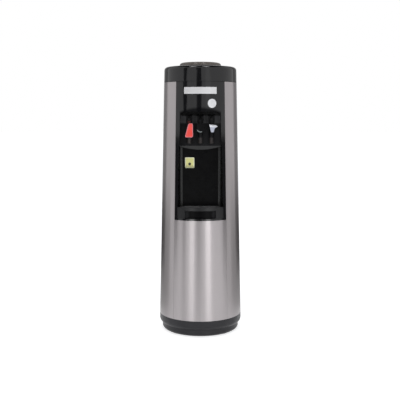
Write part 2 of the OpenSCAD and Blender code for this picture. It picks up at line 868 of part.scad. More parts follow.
// Tap at x: spout, valve barrel, slotted bonnet and a shank through the panel
module tap_body(x) {
    shank_end = -tap_panel_y + shank_tail;
    color(black) difference() {
        union() {
            rod_z(x, barrel_y, spout_tip_z, chamber_z, spout_r);
            rod_z(x, barrel_y, chamber_z - 4, bonnet_z0 + 2, barrel_r);
            rod_x(x, bonnet_y, pin_z, bonnet_r, bonnet_w);
            translate([x - bonnet_w / 2, bonnet_y - bonnet_r, bonnet_z0])
                cube([bonnet_w, 2 * bonnet_r, pin_z - bonnet_z0]);
            rod_y(x, barrel_y, shank_end, shank_z, shank_r);
            rod_y(x, -tap_panel_y - collar_t, -tap_panel_y, shank_z, shank_r + 4);
        }
        rod_z(x, barrel_y, spout_tip_z - 1, chamber_z + 1, spout_bore_r);
        rod_z(x, barrel_y, chamber_z, chamber_z + chamber_h, chamber_r);
        rod_z(x, barrel_y, chamber_z + chamber_h - 1, slot_z + 1, rod_r + run_fit);
        rod_y(x, barrel_y, shank_end + 1, shank_z, line_r + slip);
        rod_x(x, pin_y, pin_z, lever_pin_r + run_fit, bonnet_w + 2);
        translate([x - tongue_w / 2 - side_gap, bonnet_y - bonnet_r - 1, slot_z])
            cube([tongue_w + 2 * side_gap, 2 * bonnet_r - 2, 2 * bonnet_r]);
    }
}

module hot_tap_body() {
    tap_body(tap_xs[0]);
}

module room_tap_body() {
    tap_body(tap_xs[1]);
}

module cold_tap_body() {
    tap_body(tap_xs[2]);
}

module lever_pins() {
    color("#b9bcc0") for (x = tap_xs) {
        rod_x(x, pin_y, pin_z, lever_pin_r, bonnet_w);
    }
}

// Lever at x: a forked tongue on the pin, and a paddle with the given outline from its top
module lever(x, tint, paddle) {
    hub_r = 6;
    color(tint) difference() {
        union() {
            rod_x(x, pin_y, pin_z, hub_r, tongue_w);
            translate([x - tongue_w / 2, pin_y, pin_z + 2 - finger_t])
                cube([tongue_w, barrel_y - pin_y + hub_r, finger_t]);
            profile_x(x, tongue_w, [
                [pin_y, pin_z + hub_r],
                [pin_y - 8, pin_z + 5],
                [paddle_y - paddle_t, pin_z - 9],
                [paddle_y - paddle_t, pin_z - paddle_drop - 8],
                [paddle_y, pin_z - paddle_drop - 8],
                [paddle_y, pin_z - 12],
                [pin_y - 7, pin_z - 4.5],
                [pin_y, pin_z - hub_r]
            ]);
            translate([x, paddle_y, pin_z - paddle_drop]) rotate([-paddle_lean, 0, 0])
                upright(0, paddle_t, paddle);
        }
        rod_x(x, pin_y, pin_z, lever_pin_r + run_fit, bonnet_w);
        translate([x - rod_r - 0.8, barrel_y - rod_r - 1.5, pin_z - 10])
            cube([2 * rod_r + 1.6, 2 * rod_r + 3, 20]);
        translate([x - tongue_w, barrel_y - head_r - side_gap, pin_z + 2])
            cube([2 * tongue_w, 2 * hub_r, hub_r]);
        children();
    }
}

// Hot lever: red, wider towards its foot and straight along its inner edge
module hot_lever() {
    foot = hot_paddle_inner - hot_paddle_foot_w;
    round_r = 5;
    top_r = hot_paddle_top_w / 2;
    lever(tap_xs[0], "#e8564c", concat(
        arc([hot_paddle_inner - top_r, hot_paddle_rise - top_r], top_r, 0, 170, 10),
        arc([foot + round_r, round_r - hot_paddle_h], round_r, 170, 270, 5),
        arc([hot_paddle_inner - round_r, round_r - hot_paddle_h], round_r, 270, 360, 5)
    ))
        translate([tap_xs[0] - catch_stem_w / 2 - side_gap, paddle_y - 10,
            catch_z0 + 3 - catch_travel - side_gap])
            cube([catch_stem_w + 2 * side_gap, 12, catch_travel + 4 + 2 * side_gap]);
}

// Room temperature lever: black, round at its foot
module room_lever() {
    half = room_paddle_w / 2;
    lever(tap_xs[1], black, concat(
        [[half, 0], [-half, 0]],
        arc([0, half - room_paddle_h], half, 180, 360, 16)
    ));
}

// Cold lever: white, a tapering stem whose top runs out to a pointed wing
module cold_lever() {
    wing = cold_bar_w - cold_bar_inner;
    stem_in = 1.5 - cold_stem_w / 2;
    stem_out = stem_in + cold_stem_w;
    lever(tap_xs[2], "#d9dbe6", [
        [wing - 5, 0],
        [1 - cold_bar_inner, 0],
        [-cold_bar_inner, -1],
        [-cold_bar_inner, -cold_bar_h],
        [stem_in, 3 - cold_paddle_h],
        [stem_in + 2, -cold_paddle_h],
        [stem_out - 2, -cold_paddle_h],
        [stem_out, 3 - cold_paddle_h],
        [stem_out + 3, -cold_bar_h - 7],
        [stem_out + 7, -cold_bar_h - 4],
        [wing, -cold_bar_h],
        [wing - 1, 2 - cold_bar_h]
    ]);
}

// Catch that slides down in the hot lever before it can be pressed
module hot_safety_catch() {
    face_y = paddle_y - paddle_t - side_gap - 0.5;
    color("#7d1f1b") {
        translate([tap_xs[0] - catch_w / 2, face_y - 3, catch_z0]) cube([catch_w, 3, catch_h]);
        translate([tap_xs[0] - catch_stem_w / 2, face_y - 1, catch_z0 + 3])
            cube([catch_stem_w, paddle_y - face_y + 2, 4]);
    }
}

// Plunger at x: a seal on the valve seat, and a stem up to the lever's fork
module plunger(x) {
    head_z = pin_z + 2 + head_gap;
    color("#c9ccd0") {
        rod_z(x, barrel_y, chamber_z + side_gap, chamber_z + side_gap + seal_t, chamber_r - 0.7);
        rod_z(x, barrel_y, chamber_z + side_gap + seal_t - 0.5, head_z + 1, rod_r);
        rod_z(x, barrel_y, head_z, head_z + 2.7, head_r);
    }
}

module hot_plunger() {
    plunger(tap_xs[0]);
}

module room_plunger() {
    plunger(tap_xs[1]);
}

module cold_plunger() {
    plunger(tap_xs[2]);
}

// Closing spring at x, between the plunger's seal and the top of the valve chamber
module valve_spring(x) {
    wire = 0.5;
    turns = 6;
    low = chamber_z + side_gap + seal_t + wire + 0.1;
    high = chamber_z + chamber_h - wire - 0.1;
    color("#9a9da1") translate([x, barrel_y, low]) wire_coil(4.5, (high - low) / turns, turns, wire,
        steps_a_turn = 14, sides = 4);
}

module hot_spring() {
    valve_spring(tap_xs[0]);
}

module room_spring() {
    valve_spring(tap_xs[1]);
}

module cold_spring() {
    valve_spring(tap_xs[2]);
}

module tap_nuts() {
    color("#d8d8d4") for (x = tap_xs) {
        difference() {
            translate([x, -tap_panel_y + liner_t + tap_nut_t, shank_z]) rotate([90, 0, 0])
                cylinder(r = tap_nut_r, h = tap_nut_t, $fn = 6);
            rod_y(x, -tap_panel_y, -tap_panel_y + liner_t + tap_nut_t + 1, shank_z, shank_r + slip);
        }
    }
}

// Cold tank, open at the top, with three ports through its floor
cold_port = [22, cold_y];
room_port = [0, cold_y];
feed_port = [32, cold_y + 30];
cold_ports = [cold_port, room_port, feed_port];
port_end_z = cold_shelf_z - 9;

module cold_tank() {
    color(tank_steel) difference() {
        union() {
            rod_z(0, cold_y, cold_z0, cold_top_z, cold_tank_r);
            for (at = cold_ports) {
                rod_z(at[0], at[1], port_end_z, cold_z0 + 1, port_r);
            }
        }
        rod_z(0, cold_y, cold_z0 + tank_t, cold_top_z + 1, cold_tank_r - tank_t);
        for (at = cold_ports) {
            rod_z(at[0], at[1], port_end_z - 1, cold_z0 + 2, port_r - 1);
        }
    }
}

module cold_tank_cover() {
    color("#d9dad6") difference() {
        union() {
            rod_z(0, cold_y, cold_top_z, cold_top_z + cover_t, cold_foam_r);
            rod_z(25, cold_y, cold_top_z + cover_t - 1, cold_top_z + cover_t + 8, 14);
        }
        rod_z(float_x, cold_y, cold_top_z - 1, cold_top_z + cover_t + 1, 6 + slip);
        rod_z(25, cold_y, cold_top_z - 1, cold_top_z + cover_t + 6, 11);
    }
}

coil_r = cold_tank_r + coil_sag + slip + coil_tube_r;
coil_low_z = cold_z0 + coil_tube_r + 1;
coil_high_z = cold_top_z - coil_tube_r - 6;

module cold_tank_foam() {
    color(foam) difference() {
        rod_z(0, cold_y, cold_shelf_z, cold_top_z, cold_foam_r);
        rod_z(0, cold_y, cold_z0, cold_top_z + 1, cold_foam_in);
        for (at = cold_ports) {
            rod_z(at[0], at[1], cold_shelf_z - 1, cold_z0 + 1, port_r + slip);
        }
        rod_z(coil_r, cold_y, cold_shelf_z - 1, cold_z0 + 1, coil_tube_r + slip);
        rod_x(coil_r + 20, cold_y, coil_high_z, coil_tube_r + slip, 40);
    }
}

// Evaporator: copper tube wound round the cold tank, with both ends led out
module evaporator_coil() {
    color(copper) {
        translate([0, cold_y, coil_low_z])
            wire_coil(coil_r, (coil_high_z - coil_low_z) / coil_turns, coil_turns, coil_tube_r - 0.1,
                steps_a_turn = 20, sides = 6);
        rod_z(coil_r, cold_y, port_end_z, coil_low_z, coil_tube_r);
        translate([coil_r, cold_y, coil_low_z]) sphere(r = coil_tube_r + 0.1);
        rod_x((coil_r + cold_foam_r + 4) / 2, cold_y, coil_high_z, coil_tube_r, cold_foam_r + 4 - coil_r);
        translate([coil_r, cold_y, coil_high_z]) sphere(r = coil_tube_r + 0.1);
    }
}

// Baffle: a disc that parts cold water from room water, on a standpipe over the room port
module baffle_disc() {
    disc_t = 2.5;
    flow_r = 5;
    flow_ring_r = cold_tank_r - 22;
    color("#e6e7e3") difference() {
        union() {
            rod_z(0, cold_y, baffle_z, baffle_z + disc_t, cold_tank_r - tank_t - slip);
            rod_z(0, cold_y, cold_z0 + tank_t + slip, baffle_z + 1, port_r + 3);
        }
        rod_z(0, cold_y, cold_z0, baffle_z + disc_t + 1, port_r + 1);
        for (a = [30:60:330]) {
            translate([0, cold_y, 0]) rotate([0, 0, a])
                rod_z(flow_ring_r, 0, baffle_z - 1, baffle_z + disc_t + 1, flow_r);
        }
    }
}

// Float valve: a stem through the tank's cover, with a fork and pin for the arm
module float_valve() {
    stem_r = 6;
    seat_z = cold_top_z + cover_t;
    cheek = 3;
    color("#dfe0dc") difference() {
        union() {
            rod_z(float_x, cold_y, float_z + 9, seat_z + 14, stem_r);
            rod_z(float_x, cold_y, seat_z, seat_z + 4, 10);
            rod_x(float_x - 10, cold_y, seat_z + 9, port_r, 20);
            translate([float_x - stem_r, cold_y - 4 - cheek, float_z + 7])
                cube([2 * stem_r, 8 + 2 * cheek, 5]);
            for (y = [-4 - cheek, 4]) {
                translate([float_x - 5, cold_y + y, float_z - 5]) cube([10, cheek, 13]);
            }
            rod_y(float_x, cold_y - 5, cold_y + 5, float_z, float_pin_r);
        }
        rod_x(float_x - 12, cold_y, seat_z + 9, port_r - 1.5, 20);
    }
}

module float_arm() {
    color("#f1f1ee") difference() {
        union() {
            rod_y(float_x, cold_y - 4 + side_gap, cold_y + 4 - side_gap, float_z, 4);
            rod_x(float_x + float_arm_len / 2, cold_y, float_z, 2, float_arm_len);
            translate([float_x + float_arm_len, cold_y, float_z]) sphere(r = float_r);
        }
        rod_y(float_x, cold_y - 8, cold_y + 8, float_z, float_pin_r + run_fit);
    }
}

// Shelf from the liner side at front_y back to the rear panel, with flanges fixed to both
module shelf(front_y, top_z, front_flange_z) {
    half = 72;
    translate([-half, front_y, top_z - shelf_t]) cube([2 * half, rear_in - front_y, shelf_t]);
    translate([-half, front_y, front_flange_z]) cube([2 * half, shelf_t, shelf_flange]);
    translate([-half, rear_in - shelf_t, top_z - shelf_flange]) cube([2 * half, shelf_t, shelf_flange]);
}

hot_out_port = [-24, hot_y];
hot_feed_port = [24, hot_y];
hot_drain_port = [-24, hot_y + 20];
hot_low_ports = [hot_feed_port, hot_drain_port];

module tank_shelves() {
    color("#9b9ea1") {
        difference() {
            shelf(-tap_panel_y + liner_t, cold_shelf_z, cold_shelf_z - shelf_t);
            for (at = cold_ports) {
                rod_z(at[0], at[1], cold_shelf_z - 5, cold_shelf_z + 1, port_r + 1);
            }
            rod_z(coil_r, cold_y, cold_shelf_z - 5, cold_shelf_z + 1, coil_tube_r + 1);
        }
        difference() {
            shelf(-alcove_back_y + liner_t, hot_shelf_z, hot_shelf_z - shelf_flange);
            for (at = hot_low_ports) {
                rod_z(at[0], at[1], hot_shelf_z - 5, hot_shelf_z + 1, port_r + 1);
            }
        }
    }
}

module hot_tank() {
    color(tank_steel) difference() {
        union() {
            rod_z(0, hot_y, hot_z0, hot_top_z, hot_tank_r);
            rod_z(hot_out_port[0], hot_out_port[1], hot_top_z - 1, hot_top_z + hot_foam_t + 6, port_r);
            for (at = hot_low_ports) {
                rod_z(at[0], at[1], hot_shelf_z - 9, hot_z0 + 1, port_r);
            }
        }
        rod_z(0, hot_y, hot_z0 + tank_t, hot_top_z - tank_t, hot_tank_r - tank_t);
        rod_z(hot_out_port[0], hot_out_port[1], hot_top_z - 3, hot_top_z + hot_foam_t + 7, port_r - 1);
        for (at = hot_low_ports) {
            rod_z(at[0], at[1], hot_shelf_z - 10, hot_z0 + 2, port_r - 1);
        }
    }
}

module band_heater() {
    band_h = 45;
    band_z = hot_z0 + 25;
    color("#b8a06a") difference() {
        rod_z(0, hot_y, band_z, band_z + band_h, hot_tank_r + slip + band_t);
        rod_z(0, hot_y, band_z - 1, band_z + band_h + 1, hot_tank_r + slip);
        translate([-3, hot_y - hot_tank_r - 10, band_z - 1]) cube([6, 20, band_h + 2]);
    }
}

thermostat_r = 9;
thermostat_h = 7;
thermostat_x = 18;

module hot_tank_foam() {
    color(foam) difference() {
        rod_z(0, hot_y, hot_shelf_z, hot_top_z + hot_foam_t, hot_foam_r);
        rod_z(0, hot_y, hot_z0, hot_top_z, hot_foam_in);
        rod_z(hot_out_port[0], hot_out_port[1], hot_top_z - 1, hot_top_z + hot_foam_t + 1, port_r + slip);
        rod_z(thermostat_x, hot_y, hot_top_z - 1, hot_top_z + hot_foam_t + 1, thermostat_r + slip);
        for (at = hot_low_ports) {
            rod_z(at[0], at[1], hot_shelf_z - 1, hot_z0 + 1, port_r + slip);
        }
    }
}

// Thermostats: the hot tank's limiter, and the cold control with its spindle
module thermostats() {
    control_w = 20;
    control_h = 24;
    control_t = 7;
    color("#2f3133") {
        rod_z(thermostat_x, hot_y, hot_top_z, hot_top_z + thermostat_h, thermostat_r);
        rod_z(thermostat_x, hot_y, hot_top_z + thermostat_h - 1, hot_top_z + thermostat_h + 4, 3);
    }
    color("#8f9396") {
        translate([knob_at[0] - control_w / 2, rear_in - control_t, knob_at[1] - control_h / 2])
            cube([control_w, control_t, control_h]);
        rod_y(knob_at[0], rear_in - control_t + 2, rear_y + 11, knob_at[1], knob_shaft_r);
    }
}

// Compressor: a welded shell with domed ends on a footplate, and its relay cover
module compressor() {
    dome = 34;
    foot_t = 3;
    seam_r = compressor_r + 2;
    mid_z = compressor_z0 + 12 + dome;
    top_z = compressor_z0 + compressor_h - dome;
    color("#232426") difference() {
        union() {
            translate([0, compressor_y, 0]) rotate_extrude() polygon(concat(
                [[0, compressor_z0 + 12]],
                [for (a = [0:15:90]) [compressor_r * sin(a), mid_z - dome * cos(a)]],
                [for (a = [90:-15:0]) [compressor_r * sin(a), top_z + dome * cos(a)]]
            ));
            rod_z(0, compressor_y, top_z - 3, top_z + 3, seam_r);
            compressor_feet() rod_z(0, 0, compressor_z0, compressor_z0 + foot_t, grommet_r + 4);
            for (a = [45, 135]) {
                translate([0, compressor_y, compressor_z0]) rotate([0, 0, a])
                    translate([-compressor_r - 14, -grommet_r - 4, 0])
                    cube([2 * compressor_r + 28, 2 * grommet_r + 8, foot_t]);
            }
            rod_z(0, compressor_y, compressor_z0, mid_z - 10, 30);
        }
        compressor_feet() rod_z(0, 0, compressor_z0 - 1, compressor_z0 + foot_t + 1, grommet_bore_r);
    }
    color("#3a3b3d") translate([-22, compressor_y - compressor_r - 10, mid_z])
        cube([44, 10 + compressor_r - sqrt(compressor_r * compressor_r - 22 * 22) - 0.2, 48]);
}

module compressor_grommets() {
    color("#191a1b") compressor_feet() difference() {
        rod_z(0, 0, pan_top_z, pan_top_z + grommet_h, grommet_r);
        rod_z(0, 0, pan_top_z - 1, pan_top_z + grommet_h + 1, grommet_bore_r);
    }
}

// Refrigerant lines: hot gas up to the condenser, liquid through the drier, and the return
module refrigerant_lines() {
    shell_top = compressor_z0 + compressor_h;
    gas_x = 112;
    return_x = cold_foam_r + 14;
    drier_x = -condenser_end_x;
    drier_y = rear_in - 16;
    drier_z = condenser_z0 - 70;
    drier_h = 50;
    drier_r = 9;
    liquid_x = -100;
    color(copper) {
        pipe([
            [20, compressor_y, shell_top + slip],
            [20, compressor_y, shell_top + 24],
            [gas_x, 50, shell_top + 24],
            [gas_x, 50, condenser_top_z],
            [condenser_end_x, 78, condenser_top_z],
            [condenser_end_x, rear_in - condenser_tail - slip, condenser_top_z]
        ], refrigerant_r);
        pipe([
            [drier_x, rear_in - condenser_tail - slip, condenser_z0],
            [drier_x, drier_y, condenser_z0],
            [drier_x, drier_y, drier_z + drier_h]
        ], refrigerant_r);
        pipe([
            [drier_x, drier_y, drier_z],
            [drier_x, drier_y, drier_z - 15],
            [liquid_x, 40, drier_z - 15],
            [liquid_x, 40, cold_shelf_z - 22],
            [coil_r, cold_y, cold_shelf_z - 22],
            [coil_r, cold_y, port_end_z - slip]
        ], refrigerant_r);
        pipe([
            [cold_foam_r + 4 + slip, cold_y, coil_high_z],
            [return_x, cold_y, coil_high_z],
            [return_x, cold_y, shell_top + 8],
            [-20, compressor_y, shell_top + 8],
            [-20, compressor_y, shell_top + slip]
        ], refrigerant_r);
        rod_z(drier_x, drier_y, drier_z, drier_z + drier_h, drier_r);
    }
}

// Condenser: one tube in level passes joined by bends, with upright wires on both sides
module condenser() {
    wire_r = 0.8;
    wire_off = condenser_tube_r + wire_r - 0.3;
    wire_pitch = 12;
    bend_r = condenser_pitch / 2;
    color("#1f2022") {
        for (i = [0:condenser_passes - 1]) {
            rod_x(0, condenser_y, condenser_z0 + i * condenser_pitch, condenser_tube_r, 2 * condenser_half);
        }
        for (i = [0:condenser_passes - 2]) {
            mirror([i % 2, 0, 0])
                translate([condenser_half, condenser_y, condenser_z0 + (i + 0.5) * condenser_pitch])
                rotate([90, 0, 0]) rotate([0, 0, -90]) rotate_extrude(angle = 180)
                translate([bend_r, 0]) circle(r = condenser_tube_r);
        }
        for (side = [-1, 1]) {
            z = side < 0 ? condenser_z0 : condenser_top_z;
            rod_x(side * (condenser_half + 4), condenser_y, z, condenser_tube_r, 9);
            translate([side * condenser_end_x, condenser_y, z]) sphere(r = condenser_tube_r + 0.2);
            rod_y(side * condenser_end_x, rear_in - condenser_tail, condenser_y, z, condenser_tube_r);
        }
        for (i = [-6:6]) {
            rod_z(i * wire_pitch, condenser_y + (i % 2 == 0 ? wire_off : -wire_off),
                condenser_z0 - 8, condenser_top_z + 8, wire_r);
        }
    }
}

module condenser_brackets() {
    width = 8;
    height = 12;
    bracket_x = condenser_half - 16;
    color("#26272a") for (side = [-1, 1]) {
        for (z = [condenser_z0 + 2 * condenser_pitch, condenser_top_z - 2 * condenser_pitch]) {
            difference() {
                translate([side * bracket_x - width / 2, rear_y, z - height / 2])
                    cube([width, condenser_off + condenser_tube_r + 2, height]);
                rod_x(side * bracket_x, condenser_y, z, condenser_tube_r + slip, width + 2);
            }
        }
    }
}

// Filter head, hung under the alcove's floor, with its two cartridges
module filter_head() {
    top_z = filter_top_z + head_h;
    head_d = 36;
    web = [44, 16];
    color("#e4e5e2") difference() {
        union() {
            translate([-head_half, filter_y - head_d / 2, filter_top_z + slip])
                cube([2 * head_half, head_d, head_h]);
            translate([-web[0] / 2, filter_y - web[1] / 2, top_z - 1])
                cube([web[0], web[1], front_z + front_rail_h - liner_t - top_z + 1]);
        }
        for (side = [-1, 1]) {
            rod_x(side * head_half, filter_y, filter_top_z + head_h / 2, line_r + slip, 20);
        }
    }
}

module filter_cartridges() {
    neck_r = filter_r - 6;
    color("#eceeed") for (x = [-filter_x, filter_x]) {
        translate([x, filter_y, 0]) rotate_extrude() polygon(concat(
            [[0, filter_top_z - filter_h]],
            arc([filter_r - 10, filter_top_z - filter_h + 10], 10, 270, 360, 6),
            [[filter_r, filter_top_z - 20], [neck_r, filter_top_z - 12], [neck_r, filter_top_z]],
            [[0, filter_top_z]]
        ));
    }
}

// Water lines: inlet to filters, filters to float valve, tanks to taps, feed and drain
module water_lines() {
    head_z = filter_top_z + head_h / 2;
    tap_y = -tap_panel_y + shank_tail - 4;
    tap_feed_z = port_end_z - 7;
    hot_feed_z = hot_top_z + hot_foam_t + 14;
    rise_x = -112;
    feed_x = 84;
    low_z = hot_shelf_z - 18;
    valve_z = cold_top_z + cover_t + 9;
    color("#f3f3f0") {
        pipe([
            [water_inlet_at[0], rear_in - inlet_tail - slip, service_z],
            [water_inlet_at[0], filter_y, service_z],
            [water_inlet_at[0], filter_y, head_z],
            [head_half - 8, filter_y, head_z]
        ], line_r);
        pipe([
            [-head_half + 8, filter_y, head_z],
            [-head_half - 14, filter_y, head_z],
            [rise_x, cold_y, head_z],
            [rise_x, cold_y, valve_z],
            [float_x - 20 - slip, cold_y, valve_z]
        ], line_r);
        pipe([
            [room_port[0], room_port[1], port_end_z - slip],
            [room_port[0], room_port[1], tap_feed_z],
            [tap_xs[1], tap_y - 8, shank_z],
            [tap_xs[1], tap_y - 9, shank_z]
        ], line_r - 0.5);
        pipe([
            [cold_port[0], cold_port[1], port_end_z - slip],
            [cold_port[0], cold_port[1], tap_feed_z],
            [tap_xs[2], tap_y + 8, shank_z],
            [tap_xs[2], tap_y - 4, shank_z]
        ], line_r - 0.5);
        pipe([
            [hot_out_port[0], hot_out_port[1], hot_top_z + hot_foam_t + 6 + slip],
            [hot_out_port[0], hot_out_port[1], hot_feed_z],
            [tap_xs[0], tap_y + 8, shank_z],
            [tap_xs[0], tap_y - 4, shank_z]
        ], line_r - 0.5);
        pipe([
            [feed_port[0], feed_port[1], port_end_z - slip],
            [feed_port[0], feed_port[1], tap_feed_z],
            [feed_x, feed_port[1], tap_feed_z],
            [feed_x, feed_port[1], low_z],
            [hot_feed_port[0], hot_feed_port[1], low_z],
            [hot_feed_port[0], hot_feed_port[1], hot_shelf_z - 9 - slip]
        ], line_r);
        pipe([
            [hot_drain_port[0], hot_drain_port[1], hot_shelf_z - 9 - slip],
            [hot_drain_port[0], hot_drain_port[1], low_z],
            [drain_at[0], rear_in - 14, low_z - 20],
            [drain_at[0], rear_in - 14, drain_at[1]],
            [drain_at[0], rear_in - drain_tail - slip, drain_at[1]]
        ], line_r);
    }
}

// Push-fit inlet for the supply tube, on a threaded body held by two nuts
module water_inlet() {
    x = water_inlet_at[0];
    z = water_inlet_at[1];
    color("#e9eae7") difference() {
        union() {
            rod_y(x, rear_in - inlet_tail, rear_y + inlet_out, z, inlet_r);
            rod_y(x, rear_y, rear_y + nut_t, z, inlet_r + nut_t);
            translate([x, rear_in, z]) rotate([90, 0, 0]) cylinder(r = inlet_r + nut_t, h = nut_t, $fn = 6);
        }
        rod_y(x, rear_y + inlet_out - tube_depth, rear_y + inlet_out + 1, z, tube_bore_r);
        rod_y(x, rear_in - inlet_tail - 1, rear_y + inlet_out - tube_depth + 1, z, tube_bore_r - 1);
    }
}

module drain_outlet() {
    x = drain_at[0];
    z = drain_at[1];
    color("#d9dad7") difference() {
        union() {
            rod_y(x, rear_in - drain_tail, rear_y + drain_out, z, drain_r);
            rod_y(x, rear_y, rear_y + drain_flange_t, z, drain_r + nut_t);
            translate([x, rear_in, z]) rotate([90, 0, 0]) cylinder(r = drain_r + nut_t, h = nut_t, $fn = 6);
        }
        rod_y(x, rear_in - drain_tail - 1, rear_y + drain_out + 1, z, drain_r - 3);
    }
}

// Cap over the drain, ribbed for the fingers
module drain_cap() {
    x = drain_at[0];
    z = drain_at[1];
    cap_y = rear_y + drain_flange_t + side_gap;
    cap_r = drain_r + 3.5;
    color("#1e1f21") difference() {
        union() {
            rod_y(x, cap_y, rear_y + drain_out + 4, z, cap_r);
            for (a = [0:30:330]) {
                translate([x, 0, z]) rotate([0, a, 0]) translate([cap_r - 0.5, cap_y, -1])
                    cube([1.5, drain_out - drain_flange_t, 2]);
            }
        }
        rod_y(x, cap_y - 1, rear_y + drain_out + side_gap, z, drain_r + side_gap);
    }
}

// Mains inlet: a flanged socket with three blades
module power_inlet() {
    x = power_inlet_at[0];
    z = power_inlet_at[1];
    depth = 15;
    wall = 2;
    flange_half = 24;
    flange_t = 2.5;
    blade_len = 13;
    color("#161718") difference() {
        union() {
            translate([x - power_w / 2, rear_y - depth - 3, z - power_h / 2])
                cube([power_w, depth + 3, power_h]);
            translate([x - flange_half, rear_y, z - power_h / 2 - wall])
                cube([2 * flange_half, flange_t, power_h + 2 * wall]);
        }
        translate([x - power_w / 2 + wall, rear_y - depth, z - power_h / 2 + wall])
            cube([power_w - 2 * wall, depth + 5, power_h - 2 * wall]);
    }
    color("#c8c9ca") {
        for (at = [[-7, -2], [7, -2], [0, 3]]) {
            translate([x + at[0] - 1, rear_y - depth - 1, z + at[1] - 2]) cube([2, blade_len, 4]);
        }
    }
}

// Frames of the two rocker switches
module switch_housings() {
    depth = 12;
    rim = 2;
    color("#1b1c1e") for (at = [hot_switch_at, cold_switch_at]) {
        difference() {
            union() {
                translate([at[0] - switch_w / 2 - switch_wall, rear_y - depth, at[1] - switch_h / 2 - switch_wall])
                    cube([switch_w + 2 * switch_wall, depth + 0.5, switch_h + 2 * switch_wall]);
                translate([at[0] - switch_w / 2 - switch_wall - rim, rear_y, at[1] - switch_h / 2 - switch_wall - rim])
                    cube([switch_w + 2 * (switch_wall + rim), 1.5, switch_h + 2 * (switch_wall + rim)]);
            }
            translate([at[0] - switch_w / 2, rear_y - depth + 2, at[1] - switch_h / 2])
                cube([switch_w, depth + 2, switch_h]);
            rod_x(at[0], rear_y - 2, at[1], 1.5 + run_fit, switch_w + 2 * switch_wall - 1.5);
        }
    }
}

// Rocker on trunnions, leaning towards its off side at rest
module rocker(at, tint) {
    half = switch_h / 2 - 0.8;
    color(tint) translate([at[0], rear_y - 2, at[1]]) rotate([switch_lean, 0, 0]) {
        rod_x(0, 0, 0, 1.5, switch_w + 2);
        profile_x(0, switch_w - 2 * side_gap, [
            [-3, -half + 2], [-3, half - 2], [3.5, half], [4.6, half], [3, 0], [4.6, -half], [3.5, -half]
        ]);
    }
}

module hot_switch() {
    rocker(hot_switch_at, "#c4372f");
}

module cold_switch() {
    rocker(cold_switch_at, "#3b8a4d");
}

module thermostat_knob() {
    x = knob_at[0];
    z = knob_at[1];
    color("#202123") difference() {
        union() {
            rod_y(x, rear_y + side_gap, rear_y + 3, z, knob_r + 1.5);
            rod_y(x, rear_y + 2, rear_y + 12, z, knob_r);
            translate([x - 2, rear_y + 10, z - knob_r]) cube([4, 5, 2 * knob_r]);
        }
        rod_y(x, rear_y, rear_y + 11.3, z, knob_shaft_r + run_fit);
    }
}

module panel_screws() {
    color("#b5b7ba") for (z = screw_zs) {
        for (side = [-1, 1]) {
            rod_y(side * screw_x(z), rear_in - sheet_t - 3, rear_y + 0.5, z, screw_r);
            rod_y(side * screw_x(z), rear_y, rear_y + screw_head_t, z, screw_head_r);
        }
    }
}

base_ring();
base_pan();
rubber_feet();
left_side_panel();
right_side_panel();
lower_front_panel();
rear_panel();
front_fascia();
alcove_liner();
tap_housing();
badge_plate();
yellow_label();
top_cap();
top_lid();
drip_tray();
drip_grille();
hot_tap_body();
room_tap_body();
cold_tap_body();
hot_lever();
room_lever();
cold_lever();
hot_safety_catch();
lever_pins();
hot_plunger();
room_plunger();
cold_plunger();
hot_spring();
room_spring();
cold_spring();
tap_nuts();
cold_tank();
cold_tank_cover();
cold_tank_foam();
evaporator_coil();
baffle_disc();
float_valve();
float_arm();
tank_shelves();
hot_tank();
band_heater();
hot_tank_foam();
thermostats();
compressor();
compressor_grommets();
refrigerant_lines();
condenser();
condenser_brackets();
filter_head();
filter_cartridges();
water_lines();
water_inlet();
drain_outlet();
power_inlet();
drain_cap();
switch_housings();
hot_switch();
cold_switch();
thermostat_knob();
panel_screws();
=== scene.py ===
# The looks of a bottleless water cooler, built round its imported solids. Metres.
import json
import math

import bmesh
import bpy
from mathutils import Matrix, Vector


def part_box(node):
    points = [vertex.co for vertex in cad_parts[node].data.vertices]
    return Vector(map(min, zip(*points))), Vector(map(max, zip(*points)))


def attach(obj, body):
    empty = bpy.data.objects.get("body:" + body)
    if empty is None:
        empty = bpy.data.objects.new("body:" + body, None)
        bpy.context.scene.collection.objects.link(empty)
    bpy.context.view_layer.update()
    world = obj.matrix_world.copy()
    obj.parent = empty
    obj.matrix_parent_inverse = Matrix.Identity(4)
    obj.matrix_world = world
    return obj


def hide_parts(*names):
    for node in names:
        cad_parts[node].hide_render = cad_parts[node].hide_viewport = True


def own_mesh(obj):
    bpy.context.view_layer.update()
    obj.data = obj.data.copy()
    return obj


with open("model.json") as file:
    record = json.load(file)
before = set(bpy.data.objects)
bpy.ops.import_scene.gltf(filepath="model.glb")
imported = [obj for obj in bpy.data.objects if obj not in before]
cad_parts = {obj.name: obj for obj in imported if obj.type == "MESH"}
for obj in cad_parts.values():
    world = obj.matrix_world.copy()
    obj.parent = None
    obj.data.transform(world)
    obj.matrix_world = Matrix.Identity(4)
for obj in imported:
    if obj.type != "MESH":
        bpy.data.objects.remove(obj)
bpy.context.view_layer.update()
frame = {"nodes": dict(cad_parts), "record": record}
nodes = frame["nodes"]
body_of = {n: b for b, names in frame["record"]["behaviour"]["bodies"].items() for n in names}
slot_of = {row["node"]: row["material_slot"] for row in frame["record"]["subparts"]}
MM = 0.001
TAPS = ("hot", "room", "cold")

# Places taken from the solids

pin_low, pin_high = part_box("lever_pins")
housing_low, housing_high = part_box("tap_housing")
tray_low, tray_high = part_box("drip_tray")
label_low, label_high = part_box("yellow_label")
front_low, front_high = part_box("front_fascia")
PIN_Z = (pin_low.z + pin_high.z) / 2
tap_x = {}
for tap in TAPS:
    low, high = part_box(tap + "_tap_body")
    tap_x[tap] = (low.x + high.x) / 2

# Camera

